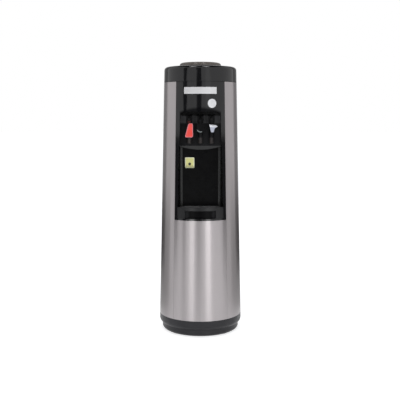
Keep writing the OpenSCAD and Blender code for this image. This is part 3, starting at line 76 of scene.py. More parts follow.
CAMERA_DISTANCE = 2.848
CAMERA_HEIGHT = 0.840
CAMERA_PITCH = math.radians(6.5)
CAMERA_SIDE = -0.0014
SENSOR_MM = 36
LENS_MM = 64.9


def add_camera():
    data = bpy.data.cameras.new("camera")
    data.sensor_width = SENSOR_MM
    data.lens = LENS_MM
    camera = bpy.data.objects.new("camera", data)
    camera.location = (CAMERA_SIDE, -CAMERA_DISTANCE, CAMERA_HEIGHT)
    camera.rotation_euler = (math.pi / 2 - CAMERA_PITCH, 0, 0)
    bpy.context.scene.collection.objects.link(camera)
    bpy.context.scene.camera = camera


# Shader nodes that the studio and the materials share


def empty_tree(owner):
    """The cleared node tree of a material or a world."""
    owner.use_nodes = True
    owner.node_tree.nodes.clear()
    return owner.node_tree


def reckon(tree, operation, *values, clamp=False):
    """A Math node's result. The values are numbers or what other nodes give."""
    node = tree.nodes.new("ShaderNodeMath")
    node.operation = operation
    node.use_clamp = clamp
    for socket, value in zip(node.inputs, values):
        if isinstance(value, (int, float)):
            socket.default_value = value
        else:
            tree.links.new(value, socket)
    return node.outputs[0]


def background_rays(tree):
    """1 for the rays that show the white background: camera, glossy and transmission rays."""
    path = tree.nodes.new("ShaderNodeLightPath")
    seen = path.outputs["Is Camera Ray"]
    for kind in ("Is Glossy Ray", "Is Transmission Ray"):
        seen = reckon(tree, "ADD", seen, path.outputs[kind], clamp=True)
    return seen


# Floor and surrounding light

AMBIENT = 0.5
FLOOR_R = 40
FLOOR_GREY = 0.80
FLOOR_GLOW = 0.68


def add_world():
    world = bpy.data.worlds.new("studio")
    bpy.context.scene.world = world
    tree = empty_tree(world)
    out = tree.nodes.new("ShaderNodeOutputWorld")
    mix = tree.nodes.new("ShaderNodeMixShader")
    ambient = tree.nodes.new("ShaderNodeBackground")
    ambient.inputs["Color"].default_value = (0.95, 0.97, 1, 1)
    ambient.inputs["Strength"].default_value = AMBIENT
    white = tree.nodes.new("ShaderNodeBackground")
    white.inputs["Color"].default_value = (1, 1, 1, 1)
    white.inputs["Strength"].default_value = 1
    tree.links.new(background_rays(tree), mix.inputs[0])
    tree.links.new(ambient.outputs[0], mix.inputs[1])
    tree.links.new(white.outputs[0], mix.inputs[2])
    tree.links.new(mix.outputs[0], out.inputs["Surface"])


def add_floor():
    """A pale floor that goes over to the white background and keeps the cooler's shadow."""
    bpy.ops.mesh.primitive_circle_add(vertices=96, radius=FLOOR_R, fill_type="NGON", location=(0, 0, 0))
    floor = bpy.context.object
    floor.name = "floor"
    material = bpy.data.materials.new("floor")
    tree = empty_tree(material)
    out = tree.nodes.new("ShaderNodeOutputMaterial")
    paper = tree.nodes.new("ShaderNodeBsdfDiffuse")
    paper.inputs["Color"].default_value = (FLOOR_GREY, FLOOR_GREY, FLOOR_GREY, 1)
    glow = tree.nodes.new("ShaderNodeEmission")
    glow.inputs["Color"].default_value = (1, 1, 1, 1)
    tree.links.new(reckon(tree, "MULTIPLY", background_rays(tree), FLOOR_GLOW), glow.inputs["Strength"])
    both = tree.nodes.new("ShaderNodeAddShader")
    tree.links.new(paper.outputs[0], both.inputs[0])
    tree.links.new(glow.outputs[0], both.inputs[1])
    tree.links.new(both.outputs[0], out.inputs["Surface"])
    floor.data.materials.append(material)


# Lights and cards

LIGHTS_AIM = Vector((0, 0, 0.55))
FRONT_DISTANCE = 2.6
FRONT_WIDTH = 0.60
FRONT_AZIMUTH = {"left": -24, "right": 22.5}
LOW_STRENGTH = {"left": 3.0, "right": 2.8}
HIGH_STRENGTH = 3.0
BACK_AZIMUTH = 145
# The cards before the front lights: height of the foot, and brightness
FRONT_CARDS = {"left": (0.55, 0.95), "right": (0.86, 1.25)}
CARD_FOOT = 0.02
CARD_TOP = 2.2
FLAG_TOP = 2.6
# Heights up to which the cards at the right and at the sides are darker
RIGHT_STEP = 0.45
SIDE_STEP = 0.42
RIM_AZIMUTH = {"left": -38, "right": 29}


def around(azimuth, distance, height):
    """A place round the cooler. Azimuth 0 is in front, and 90 degrees is at its right."""
    a = math.radians(azimuth)
    return Vector((distance * math.sin(a), -distance * math.cos(a), height))


def add_soft_box(name, azimuth, distance, height, width, tall, strength):
    """A soft box that looks as bright as a white of this strength."""
    data = bpy.data.lights.new(name, "AREA")
    data.shape = "RECTANGLE"
    data.size = width
    data.size_y = tall
    data.energy = strength * math.pi * width * tall
    lamp = bpy.data.objects.new(name, data)
    lamp.location = around(azimuth, distance, height)
    lamp.rotation_euler = (LIGHTS_AIM - lamp.location).to_track_quat("-Z", "Y").to_euler()
    bpy.context.scene.collection.objects.link(lamp)
    return lamp


def card_material(name, grey):
    """Plain light of this grey. 1 is white."""
    material = bpy.data.materials.new(name)
    tree = empty_tree(material)
    out = tree.nodes.new("ShaderNodeOutputMaterial")
    glow = tree.nodes.new("ShaderNodeEmission")
    glow.inputs["Color"].default_value = (grey, grey, grey, 1)
    tree.links.new(glow.outputs[0], out.inputs["Surface"])
    return material


def add_card(name, material, azimuth, distance, width, low, high):
    """An upright card, dark or pale, that only reflections see, as is used beside polished metal."""
    bpy.ops.mesh.primitive_plane_add(size=1, location=(0, 0, 0))
    card = bpy.context.object
    card.name = name
    card.scale = (width, high - low, 1)
    card.rotation_euler = (math.pi / 2, 0, math.radians(azimuth))
    card.location = around(azimuth, distance, (low + high) / 2)
    card.data.materials.append(material)
    card.visible_camera = False
    card.visible_shadow = False
    card.visible_diffuse = False
    card.visible_transmission = False
    return card


def add_flat_card(name, material, azimuth, distance, width, height, length):
    """A card that lies flat at this height."""
    card = add_card(name, material, azimuth, distance, width, height - length / 2, height + length / 2)
    card.rotation_euler = (0, 0, math.radians(azimuth))


def add_lights():
    for side, azimuth in FRONT_AZIMUTH.items():
        add_soft_box("front_" + side + "_low_box", azimuth, FRONT_DISTANCE, height=0.42, width=FRONT_WIDTH,
                     tall=0.84, strength=LOW_STRENGTH[side])
        high_box = add_soft_box("front_" + side + "_high_box", azimuth, FRONT_DISTANCE, height=1.50,
                                width=FRONT_WIDTH, tall=1.2, strength=HIGH_STRENGTH)
        high_box.visible_glossy = False
    add_soft_box("overhead_box", azimuth=0, distance=0.25, height=2.9, width=1.6, tall=1.2, strength=2.0)
    for name, azimuth in (("back_left_box", -BACK_AZIMUTH), ("back_right_box", BACK_AZIMUTH)):
        back_box = add_soft_box(name, azimuth, distance=3.0, height=1.2, width=1.2, tall=1.8, strength=1.0)
        back_box.visible_glossy = False


def add_cards():
    dark = card_material("dark_flag", 0.08)
    grey = card_material("grey_flag", 0.35)
    pale = card_material("pale_flag", 0.62)
    white = card_material("white_flag", 1.0)
    add_card("middle_flag", dark, azimuth=-4.2, distance=3.2, width=0.79, low=CARD_FOOT, high=FLAG_TOP)
    add_card("left_flag", dark, azimuth=-46.6, distance=2.6, width=0.49, low=CARD_FOOT, high=FLAG_TOP)
    for side, (foot, brightness) in FRONT_CARDS.items():
        add_card(side + "_card", card_material(side + "_card", brightness), FRONT_AZIMUTH[side], distance=2.5,
                 width=FRONT_WIDTH, low=foot, high=CARD_TOP)
    add_card("right_flag", pale, azimuth=78, distance=1.6, width=0.9, low=CARD_FOOT, high=RIGHT_STEP)
    add_card("right_flag_top", white, azimuth=78, distance=1.6, width=0.9, low=RIGHT_STEP, high=2.4)
    for side in (-1, 1):
        edge, far = side * 140, side * 108
        add_card("edge_flag", dark, edge, distance=1.1, width=0.75, low=CARD_FOOT, high=SIDE_STEP)
        add_card("edge_flag_top", grey, edge, distance=1.1, width=0.75, low=SIDE_STEP, high=CARD_TOP)
        add_card("far_flag", grey, far, distance=1.2, width=0.55, low=CARD_FOOT, high=SIDE_STEP)
        add_card("far_flag_top", white, far, distance=1.2, width=0.55, low=SIDE_STEP, high=CARD_TOP)
        add_card("strip_flag", dark, side * 72, distance=1.1, width=0.30, low=0.24, high=0.78)
        add_flat_card("floor_card", pale, side * 122, distance=0.80, width=1.0, height=0.015, length=0.9)
    add_flat_card("ceiling_flag", dark, azimuth=0, distance=0, width=2.2, height=2.3, length=2.2)
    rim_light = card_material("rim_light", 7.5)
    for side, azimuth in RIM_AZIMUTH.items():
        add_flat_card(side + "_rim_card", rim_light, azimuth, distance=0.65, width=0.24, height=2.2,
                      length=0.6)


bpy.ops.object.select_all(action="DESELECT")
bpy.context.scene.view_settings.view_transform = "Standard"
add_camera()
add_world()
add_floor()
add_lights()
add_cards()

# Ways of making materials


def shader_of(material):
    return next(n for n in material.node_tree.nodes if n.type == "BSDF_PRINCIPLED")


def new_shader(name):
    material = bpy.data.materials.new(name)
    material.use_nodes = True
    return material, material.node_tree, shader_of(material)


def noise(tree, scale, stretch=(1, 1, 1), detail=3, roughness=0.55):
    """Noise in object space. Its scale is in lumps a metre, and stretch multiplies it by axis."""
    place = tree.nodes.new("ShaderNodeTexCoord")
    mapping = tree.nodes.new("ShaderNodeMapping")
    mapping.inputs["Scale"].default_value = stretch
    texture = tree.nodes.new("ShaderNodeTexNoise")
    texture.inputs["Scale"].default_value = scale
    texture.inputs["Detail"].default_value = detail
    texture.inputs["Roughness"].default_value = roughness
    tree.links.new(place.outputs["Object"], mapping.inputs["Vector"])
    tree.links.new(mapping.outputs["Vector"], texture.inputs["Vector"])
    return texture.outputs["Fac"]


def spread(tree, value, low, high, start=0.3, end=0.7):
    """Goes from low to high as the value goes from start to end."""
    ramp = tree.nodes.new("ShaderNodeMapRange")
    ramp.inputs["From Min"].default_value = start
    ramp.inputs["From Max"].default_value = end
    ramp.inputs["To Min"].default_value = low
    ramp.inputs["To Max"].default_value = high
    tree.links.new(value, ramp.inputs["Value"])
    return ramp.outputs["Result"]


def two_tone(tree, value, dark, light):
    mix = tree.nodes.new("ShaderNodeMix")
    mix.data_type = "RGBA"
    mix.inputs[6].default_value = (*dark, 1)
    mix.inputs[7].default_value = (*light, 1)
    tree.links.new(value, mix.inputs[0])
    return mix.outputs[2]


def bump(tree, shader, value, depth, strength=0.5):
    node = tree.nodes.new("ShaderNodeBump")
    node.inputs["Strength"].default_value = strength
    node.inputs["Distance"].default_value = depth
    tree.links.new(value, node.inputs["Height"])
    tree.links.new(node.outputs["Normal"], shader.inputs["Normal"])


def place_along(tree, axis):
    """The place on the cooler along X, Y or Z."""
    place = tree.nodes.new("ShaderNodeTexCoord")
    parts = tree.nodes.new("ShaderNodeSeparateXYZ")
    tree.links.new(place.outputs["Object"], parts.inputs[0])
    return parts.outputs[axis]


def moulded(name, dark, light, rough, lump=180, depth=0.04 * MM, patch=14, specular=0.5):
    """Moulded plastic or rubber: faint colour patches, uneven gloss and a fine moulded skin."""
    material, tree, shader = new_shader(name)
    tone = spread(tree, noise(tree, patch), 0, 1)
    tree.links.new(two_tone(tree, tone, dark, light), shader.inputs["Base Color"])
    gloss = spread(tree, noise(tree, patch * 2.7, detail=5), *rough)
    tree.links.new(gloss, shader.inputs["Roughness"])
    shader.inputs["Specular IOR Level"].default_value = specular
    bump(tree, shader, noise(tree, lump, detail=2), depth)
    return material


FINE_SHARE = 0.65


def sheet_metal(name, dark, light, rough, grain, anisotropic=0.0):
    """Sheet metal with a drawn grain: grain is the noise's stretch by axis."""
    material, tree, shader = new_shader(name)
    shader.inputs["Metallic"].default_value = 1
    fine = noise(tree, 1, grain, detail=4, roughness=0.7)
    broad = noise(tree, 5, (1, 1, 0.3), detail=2)
    tone = reckon(tree, "MULTIPLY_ADD", fine, FINE_SHARE, spread(tree, broad, 0, 1 - FINE_SHARE))
    tree.links.new(two_tone(tree, tone, dark, light), shader.inputs["Base Color"])
    tree.links.new(spread(tree, fine, *rough), shader.inputs["Roughness"])
    shader.inputs["Anisotropic"].default_value = anisotropic
    if anisotropic:
        upright = tree.nodes.new("ShaderNodeCombineXYZ")
        upright.inputs["Z"].default_value = 1
        tree.links.new(upright.outputs[0], shader.inputs["Tangent"])
    bump(tree, shader, fine, 0.02 * MM, 0.25)
    return material


def blend_along(material, colour, axis, start, end):
    """Lets a colour go over to another along an axis, alike on both sides of the middle."""
    tree = material.node_tree
    base = shader_of(material).inputs["Base Color"]
    mix = tree.nodes.new("ShaderNodeMix")
    mix.data_type = "RGBA"
    mix.inputs[7].default_value = (*colour, 1)
    tree.links.new(base.links[0].from_socket, mix.inputs[6])
    away = reckon(tree, "ABSOLUTE", place_along(tree, axis))
    tree.links.new(spread(tree, away, 0, 1, start, end), mix.inputs[0])
    tree.links.new(mix.outputs[2], base)


# The dull arch: how softly its curve and its sides end, and how far down it fades out
ARCH_BLUR = 5 * MM
ARCH_SIDE_BLUR = 3 * MM
ARCH_DROP = (60 * MM, 50 * MM)


def dull_over_mouth(material, top, half, rise, dull):
    """Less gloss in a low arch over the alcove's mouth, where the front rolls inward."""
    tree = material.node_tree
    gloss = shader_of(material).inputs["Specular IOR Level"]
    height = place_along(tree, "Z")
    aside = reckon(tree, "ABSOLUTE", place_along(tree, "X"))
    arched = reckon(tree, "MULTIPLY_ADD", reckon(tree, "MULTIPLY", aside, aside), rise / half ** 2, height)
    above = spread(tree, arched, 0, 1, top + rise - ARCH_BLUR, top + rise + ARCH_BLUR)
    beside = spread(tree, aside, 0, 1, half, half + ARCH_SIDE_BLUR)
    below = spread(tree, height, 1, 0, top - ARCH_DROP[0], top - ARCH_DROP[1])
    kept = reckon(tree, "MAXIMUM", reckon(tree, "MAXIMUM", above, beside), below)
    tree.links.new(reckon(tree, "MULTIPLY_ADD", kept, gloss.default_value - dull, dull), gloss)


# Metals

steel = sheet_metal("brushed_steel", (0.325, 0.304, 0.309), (0.425, 0.397, 0.404), (0.28, 0.40),
                    (14, 14, 1400), anisotropic=0.85)
zinc = sheet_metal("zinc_coated_sheet", (0.38, 0.39, 0.40), (0.55, 0.56, 0.57), (0.35, 0.5), (60, 60, 60))
bright = sheet_metal("bright_steel", (0.60, 0.61, 0.62), (0.72, 0.73, 0.74), (0.14, 0.24), (300, 300, 300))
silver = sheet_metal("satin_silver", (0.56, 0.56, 0.57), (0.66, 0.66, 0.67), (0.50, 0.62), (900, 900, 30))
copper = sheet_metal("drawn_copper", (0.52, 0.26, 0.15), (0.72, 0.40, 0.26), (0.25, 0.4), (40, 40, 40))
heater_metal = sheet_metal("heater_band", (0.44, 0.36, 0.20), (0.60, 0.50, 0.32), (0.3, 0.45), (80, 80, 400))

# Cap, front and base

POLISH = {"dark": (0.0035, 0.0035, 0.0045), "light": (0.006, 0.006, 0.007), "rough": (0.08, 0.14),
          "specular": 0.46}
gloss_black = moulded("polished_black", **POLISH)
front_black = moulded("front_black", **POLISH)
dull_over_mouth(front_black, top=housing_high.z, half=76 * MM, rise=15 * MM, dull=0.06)
satin_black = moulded("satin_black", (0.014, 0.014, 0.0165), (0.021, 0.0205, 0.024), (0.34, 0.46), lump=900,
                      specular=0.30)
lid_brown = moulded("lid_brown", (0.112, 0.097, 0.084), (0.128, 0.112, 0.099), (0.12, 0.20), specular=0.4,
                    patch=9)
rubber = moulded("black_rubber", (0.012, 0.012, 0.012), (0.024, 0.024, 0.024), (0.6, 0.8), lump=1400)

# Alcove and tray

# Heights at which the panel behind the taps goes over to a paler grey, a painted reflection, and back to a
# darker black, painted shade at its top
PANEL_LIT = (0.8175, 0.8225)
PANEL_UNLIT = (0.8460, 0.8500)
# Distances from the middle between which the finger pull goes over to its paler ends, which are painted light
PULL_LIT = (40 * MM, 58 * MM)
liner_black = moulded("liner_black", (0.002, 0.002, 0.0022), (0.0042, 0.0042, 0.0045), (0.24, 0.32), lump=260,
                      specular=0.08)
# Paler black for the liner's coves: a painted highlight
cove_black = moulded("cove_black", (0.010, 0.0105, 0.010), (0.015, 0.0155, 0.015), (0.24, 0.32), lump=260,
                     specular=0.2)
panel_black = moulded("panel_black", (0.006, 0.006, 0.007), (0.010, 0.010, 0.011), (0.20, 0.28), lump=260,
                      specular=0.16)
# A band of painted reflection on the black panel, and painted shade above it
blend_along(panel_black, (0.066, 0.066, 0.069), "Z", *PANEL_LIT)
blend_along(panel_black, (0.004, 0.004, 0.0045), "Z", *PANEL_UNLIT)
# Lighter grey for the lip under the taps: painted light
lip_grey = moulded("lip_grey", (0.022, 0.022, 0.0225), (0.030, 0.030, 0.0305), (0.30, 0.40), lump=500,
                   specular=0.25)
grille_grey = moulded("grille_grey", (0.054, 0.054, 0.056), (0.068, 0.068, 0.070), (0.38, 0.48), lump=700,
                      specular=0.4)
tray_black = moulded("tray_black", (0.014, 0.014, 0.015), (0.019, 0.019, 0.020), (0.26, 0.34), lump=500,
                     specular=0.22)
# Near-black for the finger pull: painted shade, paler towards its ends as painted light
pull_black = moulded("pull_black", (0.002, 0.002, 0.0022), (0.0035, 0.0035, 0.004), (0.26, 0.34), lump=260,
                     specular=0.04)
blend_along(pull_black, (0.034, 0.034, 0.036), "X", *PULL_LIT)

# Taps and levers

tap_black = moulded("tap_black", (0.0025, 0.0025, 0.003), (0.006, 0.006, 0.0065), (0.26, 0.36), lump=500,
                    specular=0.10)
spout_grey = moulded("spout_grey", (0.020, 0.0155, 0.015), (0.030, 0.024, 0.023), (0.26, 0.36), lump=500,
                     specular=0.25)
# Pale grey for the room paddle's foot: a painted highlight
arc_grey = moulded("arc_grey", (0.22, 0.25, 0.25), (0.30, 0.33, 0.33), (0.25, 0.35), lump=500)
lever_red = moulded("lever_red", (0.93, 0.080, 0.066), (0.97, 0.105, 0.085), (0.22, 0.32), lump=400)
# Paler pink for the hot paddle's edges: a painted highlight
rim_red = moulded("rim_red", (0.70, 0.21, 0.245), (0.78, 0.26, 0.295), (0.22, 0.32), lump=400)
catch_red = moulded("catch_red", (0.032, 0.003, 0.003), (0.055, 0.005, 0.004), (0.3, 0.4), lump=600,
                    specular=0.2)
lever_white = moulded("lever_white", (0.42, 0.44, 0.53), (0.54, 0.56, 0.66), (0.22, 0.32), lump=400)
blend_along(lever_white, (0.90, 0.90, 0.95), "Z", PIN_Z - 37 * MM, PIN_Z - 33.5 * MM)

# Labels, darker towards the yellow label's foot

label_film = moulded("label_film", (0.82, 0.82, 0.56), (0.90, 0.90, 0.64), (0.35, 0.5), lump=700)
blend_along(label_film, (0.46, 0.46, 0.29), "Z", label_low.z + 11 * MM, label_low.z + 4 * MM)
label_print = moulded("label_print", (0.76, 0.74, 0.28), (0.86, 0.84, 0.34), (0.35, 0.5), lump=700)
blend_along(label_print, (0.52, 0.50, 0.22), "Z", label_low.z + 13 * MM, label_low.z + 7 * MM)
dot_print = moulded("dot_print", (0.012, 0.011, 0.006), (0.020, 0.018, 0.010), (0.4, 0.5), lump=700)
white_film = moulded("white_film", (0.78, 0.78, 0.80), (0.88, 0.88, 0.89), (0.30, 0.42), lump=700)

# Back and inside

natural_plastic = moulded("natural_plastic", (0.66, 0.66, 0.62), (0.78, 0.78, 0.74), (0.35, 0.5), lump=500)
tube_plastic = moulded("tube_plastic", (0.74, 0.74, 0.72), (0.84, 0.84, 0.82), (0.25, 0.4), lump=200)
foam = moulded("insulating_foam", (0.66, 0.62, 0.50), (0.80, 0.77, 0.66), (0.8, 0.95), lump=350,
               depth=0.4 * MM)
back_paint = moulded("back_paint", (0.085, 0.088, 0.092), (0.105, 0.108, 0.112), (0.42, 0.55), lump=1500)
black_paint = moulded("black_paint", (0.012, 0.012, 0.013), (0.022, 0.022, 0.024), (0.3, 0.45), lump=900)
device_black = moulded("device_black", (0.014, 0.014, 0.015), (0.024, 0.024, 0.026), (0.4, 0.55), lump=1200)
rocker_red = moulded("rocker_red", (0.42, 0.022, 0.016), (0.52, 0.035, 0.026), (0.2, 0.3), lump=500)
rocker_green = moulded("rocker_green", (0.022, 0.19, 0.060), (0.035, 0.25, 0.085), (0.2, 0.3), lump=500)

# The finish of each material slot in the record

finish_of = {
    "brushed steel": steel, "rear panel": back_paint, "base plastic": satin_black, "gloss black": gloss_black,
    "liner black": liner_black, "lid": lid_brown, "badge": silver, "label yellow": label_film,
    "rubber": rubber, "tap black": tap_black, "hot red": lever_red, "catch red": catch_red,
    "lever white": lever_white, "bright steel": bright, "plunger": bright, "nut white": natural_plastic,
    "tank steel": bright, "foam": foam, "copper": copper, "white plastic": natural_plastic,
    "galvanised": zinc, "heater": heater_metal, "black metal": black_paint, "device black": device_black,
    "knob": device_black, "tube white": tube_plastic, "rocker red": rocker_red, "rocker green": rocker_green,
}
for name, node in nodes.items():
    node.data.materials.clear()
    node.data.materials.append(finish_of[slot_of[name]])

# Ways of making pieces

EDGE_ANGLE = 35
FLAT_ANGLE = 0.5
MERGE = 0.002 * MM


def only(piece):
    """Selects the piece alone."""
    bpy.ops.object.select_all(action="DESELECT")
    piece.select_set(True)
    bpy.context.view_layer.objects.active = piece


def begin(piece):
    only(piece)
    bpy.ops.object.mode_set(mode="EDIT")


def done():
    bpy.ops.object.mode_set(mode="OBJECT")


def pick(piece, kind, test):
    """In edit mode, selects the verts, edges or faces for which test is true."""
    bpy.ops.mesh.select_mode(type=kind)
    bpy.ops.mesh.select_all(action="DESELECT")
    mesh = bmesh.from_edit_mesh(piece.data)
    for part in {"VERT": mesh.verts, "EDGE": mesh.edges, "FACE": mesh.faces}[kind]:
        part.select = bool(test(part))
    mesh.select_flush_mode()
    bmesh.update_edit_mesh(piece.data)


def use(piece, kind, name, **settings):
    """Adds a modifier and applies it."""
    only(piece)
    modifier = piece.modifiers.new(name, kind)
    for key, value in settings.items():
        setattr(modifier, key, value)
    bpy.ops.object.modifier_apply(modifier=name)


def smooth(piece, angle=EDGE_ANGLE):
    only(piece)
    bpy.ops.object.shade_smooth_by_angle(angle=math.radians(angle))


def round_edges(piece, width, segments, angle):
    """Rounds the edges that turn by more than this angle, in degrees."""
    use(piece, "BEVEL", "rounding", width=width, segments=segments, limit_method="ANGLE",
        angle_limit=math.radians(angle), use_clamp_overlap=True, loop_slide=False)


def settle(piece, node, material=None, replaces=True):
    """Puts the finished piece on the node's body, with its material, and in place of the node."""
    only(piece)
    bpy.ops.object.transform_apply(location=True, rotation=True, scale=True)
    piece.data.materials.clear()
    piece.data.materials.append(material or finish_of[slot_of[node]])
    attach(piece, body_of[node])
    if replaces:
        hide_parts(node)
    return piece


def copied(node):
    """A merged copy of a node's mesh, left in edit mode."""
    piece = nodes[node].copy()
    piece.data = nodes[node].data.copy()
    piece.parent = None
    for key in list(piece.keys()):
        del piece[key]
    piece.name = "soft_" + node
    bpy.context.scene.collection.objects.link(piece)
    begin(piece)
    bpy.ops.mesh.select_all(action="SELECT")
    bpy.ops.mesh.remove_doubles(threshold=MERGE)
    return piece


def softened(node, width, material=None, shape=None):
    """The node's own shape with its edges rounded, after shape has worked on it in edit mode."""
    piece = copied(node)
    bpy.ops.mesh.dissolve_limited(angle_limit=math.radians(FLAT_ANGLE))
    if shape:
        shape(piece)
    done()
    round_edges(piece, width, segments=2, angle=EDGE_ANGLE)
    smooth(piece)
    use(piece, "WEIGHTED_NORMAL", "flat_shading", keep_sharp=True)
    return settle(piece, node, material)


def paint(piece, material, test):
    """Gives the faces for which test is true a material of their own."""
    piece.data.materials.append(material)
    for face in piece.data.polygons:
        if test(face):
            face.material_index = len(piece.data.materials) - 1


def sheet(name, width, tall):
    """A flat sheet in X and Z that faces the front, centred on the origin, left in edit mode."""
    bpy.ops.object.select_all(action="DESELECT")
    bpy.ops.mesh.primitive_plane_add(size=1, location=(0, 0, 0), rotation=(math.pi / 2, 0, 0))
    piece = bpy.context.object
    piece.name = name
    piece.scale = (width, tall, 1)
    bpy.ops.object.transform_apply(location=True, rotation=True, scale=True)
    begin(piece)
    return piece


def shift(piece, test, x=0, y=0, z=0):
    """In edit mode, moves the verts for which test is true."""
    pick(piece, "VERT", test)
    bpy.ops.transform.translate(value=(x, y, z))


def outline_sheet(name, corners):
    """A flat sheet with these corners in X and Z, in millimetres, left in edit mode."""
    bpy.ops.object.select_all(action="DESELECT")
    bpy.ops.mesh.primitive_circle_add(vertices=len(corners), radius=1, fill_type="NGON", location=(0, 0, 0),
                                      rotation=(math.pi / 2, 0, 0))
    piece = bpy.context.object
    piece.name = name
    bpy.ops.object.transform_apply(location=True, rotation=True, scale=True)
    starts = [v.co.copy() for v in piece.data.vertices]
    begin(piece)
    for i, (x, z) in enumerate(corners):
        shift(piece, lambda v: v.index == i, x=x * MM - starts[i].x, z=z * MM - starts[i].z)
    return piece


def round_corners(piece, test, radius, segments=6):
    """In edit mode, rounds the corners of a flat sheet for which test is true."""
    pick(piece, "VERT", test)
    bpy.ops.mesh.bevel(offset=radius, offset_type="OFFSET", segments=segments, affect="VERTICES")


def thicken(piece, thick, rim=0, dish=0):
    """In edit mode, draws a sheet out to the front, with a dished face inside a rim."""
    bpy.ops.mesh.select_mode(type="FACE")
    bpy.ops.mesh.select_all(action="SELECT")
    bpy.ops.mesh.extrude_region_move(TRANSFORM_OT_translate={"value": (0, -thick, 0)})
    bpy.ops.mesh.select_all(action="SELECT")
    bpy.ops.mesh.normals_make_consistent(inside=False)
    if rim:
        pick(piece, "FACE", lambda f: f.normal.y < -0.9)
        bpy.ops.mesh.inset(thickness=rim, depth=0)
        bpy.ops.transform.translate(value=(0, dish, 0))


# Mouldings and panels that keep the solid's shape, with the width of their rounded edges in millimetres

for node, width in {
    "top_cap": 0.8, "top_lid": 0.8, "base_ring": 0.8, "hot_safety_catch": 0.5, "badge_plate": 0.3,
    "left_side_panel": 0.3, "right_side_panel": 0.3, "lower_front_panel": 0.5,
    "water_inlet": 0.5, "drain_cap": 0.4, "thermostat_knob": 0.5, "switch_housings": 0.4,
    "hot_switch": 0.4, "cold_switch": 0.4, "power_inlet": 0.4,
}.items():
    softened(node, width * MM)
softened("front_fascia", 1.2 * MM, front_black)

# Alcove liner: paler coves between its back and its sides, a painted highlight

COVE_FRONT = -78.5 * MM
COVE_BACK = -71.5 * MM


def in_cove(face):
    turned = face.normal.y < -0.2 and abs(face.normal.x) > 0.3
    return turned and COVE_FRONT < face.center.y < COVE_BACK


paint(softened("alcove_liner", 0.8 * MM), cove_black, in_cove)

# Tap housing: the lip under the taps is a lighter grey, painted light from above

LIP_TOP = housing_low.z + 15 * MM


def in_lip(face):
    return face.center.z < LIP_TOP and face.normal.y < -0.3


paint(softened("tap_housing", 1.0 * MM, panel_black), lip_grey, in_lip)

# Drip grille

softened("drip_grille", 0.6 * MM, grille_grey)

# Tap bodies: greyer at the spouts

SPOUT_TOP = housing_low.z + 52 * MM
for tap in TAPS:
    paint(softened(tap + "_tap_body", 0.7 * MM), spout_grey, lambda f: f.center.z < SPOUT_TOP)

# Valve springs: smoothed copies of the solids, kept at their length

for tap in TAPS:
    spring = copied(tap + "_spring")
    done()
    smooth(spring, angle=60)
    settle(spring, tap + "_spring")
    low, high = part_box(tap + "_spring")
    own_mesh(spring)

# Drip tray: its finger pull is a hollow under the lip, painted dark as painted shade

PULL_HALF = 60 * MM
PULL_TOP = tray_high.z - 12.1 * MM
PULL_R = -tray_low.y - 2 * MM


def in_pull(face):
    c = face.center
    return abs(c.x) < PULL_HALF and c.z < PULL_TOP and math.hypot(c.x, c.y) < PULL_R


paint(softened("drip_tray", 0.8 * MM, tray_black), pull_black, in_pull)

# Levers: coloured paddles on black arms

PADDLE_TOP_Z = PIN_Z - 22 * MM
PADDLE_BACK_Y = (pin_low.y + pin_high.y) / 2 - 15 * MM
PADDLE_T = 3 * MM
PADDLE_LEAN = math.radians(5.5)
ARM_HALF = 4.02 * MM


def hang_paddle(piece, tap, edge=0.9):
    """Leans a paddle whose top edge lies on the origin, and hangs it on its lever."""
    bpy.ops.mesh.select_all(action="SELECT")
    bpy.ops.transform.rotate(value=PADDLE_LEAN, orient_axis="X", center_override=(0, 0, 0))
    bpy.ops.transform.translate(value=(tap_x[tap], PADDLE_BACK_Y, PADDLE_TOP_Z))
    done()
    round_edges(piece, edge * MM, segments=3, angle=30)
    smooth(piece, angle=40)


def hot_paddle():
    piece = outline_sheet("hot_paddle", [(-2.5, 0.7), (-16.5, -52), (14.5, -52), (13.8, 0.7)])
    round_corners(piece, lambda v: v.co.z < -51 * MM, 6 * MM)
    round_corners(piece, lambda v: v.co.z > 0, 6.5 * MM)
    thicken(piece, PADDLE_T, 2.4 * MM, 0.4 * MM)
    hang_paddle(piece, "hot")
    return piece


def room_paddle():
    wide, tall = 27 * MM, 33 * MM
    piece = sheet("room_paddle", wide, tall)
    shift(piece, lambda v: True, z=-tall / 2)
    round_corners(piece, lambda v: v.co.z < -tall / 2, wide / 2 - 0.2 * MM, 10)
    thicken(piece, PADDLE_T, 2.6 * MM, 0.5 * MM)
    hang_paddle(piece, "room")
    return piece


def cold_paddle():
    """A tapering stem whose top runs out to a pointed wing on its right."""
    piece = outline_sheet("cold_paddle", [(-8.5, -4), (-5.5, -17), (-2, -33), (7.5, -33), (12.5, -17),
                                          (23.5, -11.5), (17, -6.8)])
    round_corners(piece, lambda v: v.co.z < -32 * MM, 2.5 * MM)
    round_corners(piece, lambda v: v.co.z > -14 * MM, 1.5 * MM, 4)
    thicken(piece, PADDLE_T, 2.0 * MM, 0.4 * MM)
    hang_paddle(piece, "cold", 0.7)
    return piece


def bare_arm(piece):
    """Keeps a lever's arm without its paddle, and lays the arm's foot behind the paddle's face."""
    arm_x = tap_x[piece.name.split("_")[1]]
    for place, way in (((0, 0, PADDLE_TOP_Z - 8 * MM), (0, 0, 1)), ((arm_x - ARM_HALF, 0, 0), (1, 0, 0)),
                       ((arm_x + ARM_HALF, 0, 0), (-1, 0, 0))):
        bpy.ops.mesh.select_all(action="SELECT")
        bpy.ops.mesh.bisect(plane_co=place, plane_no=way, use_fill=True, clear_inner=True)
    shift(piece, lambda v: v.co.z < PADDLE_TOP_Z + 4 * MM and v.co.y < PADDLE_BACK_Y - 1 * MM, y=1.8 * MM)


def hot_rim(face):
    """All of the hot paddle but its broad front and back: its edges, painted a paler pink as a highlight."""
    return face.area < 400 * MM * MM


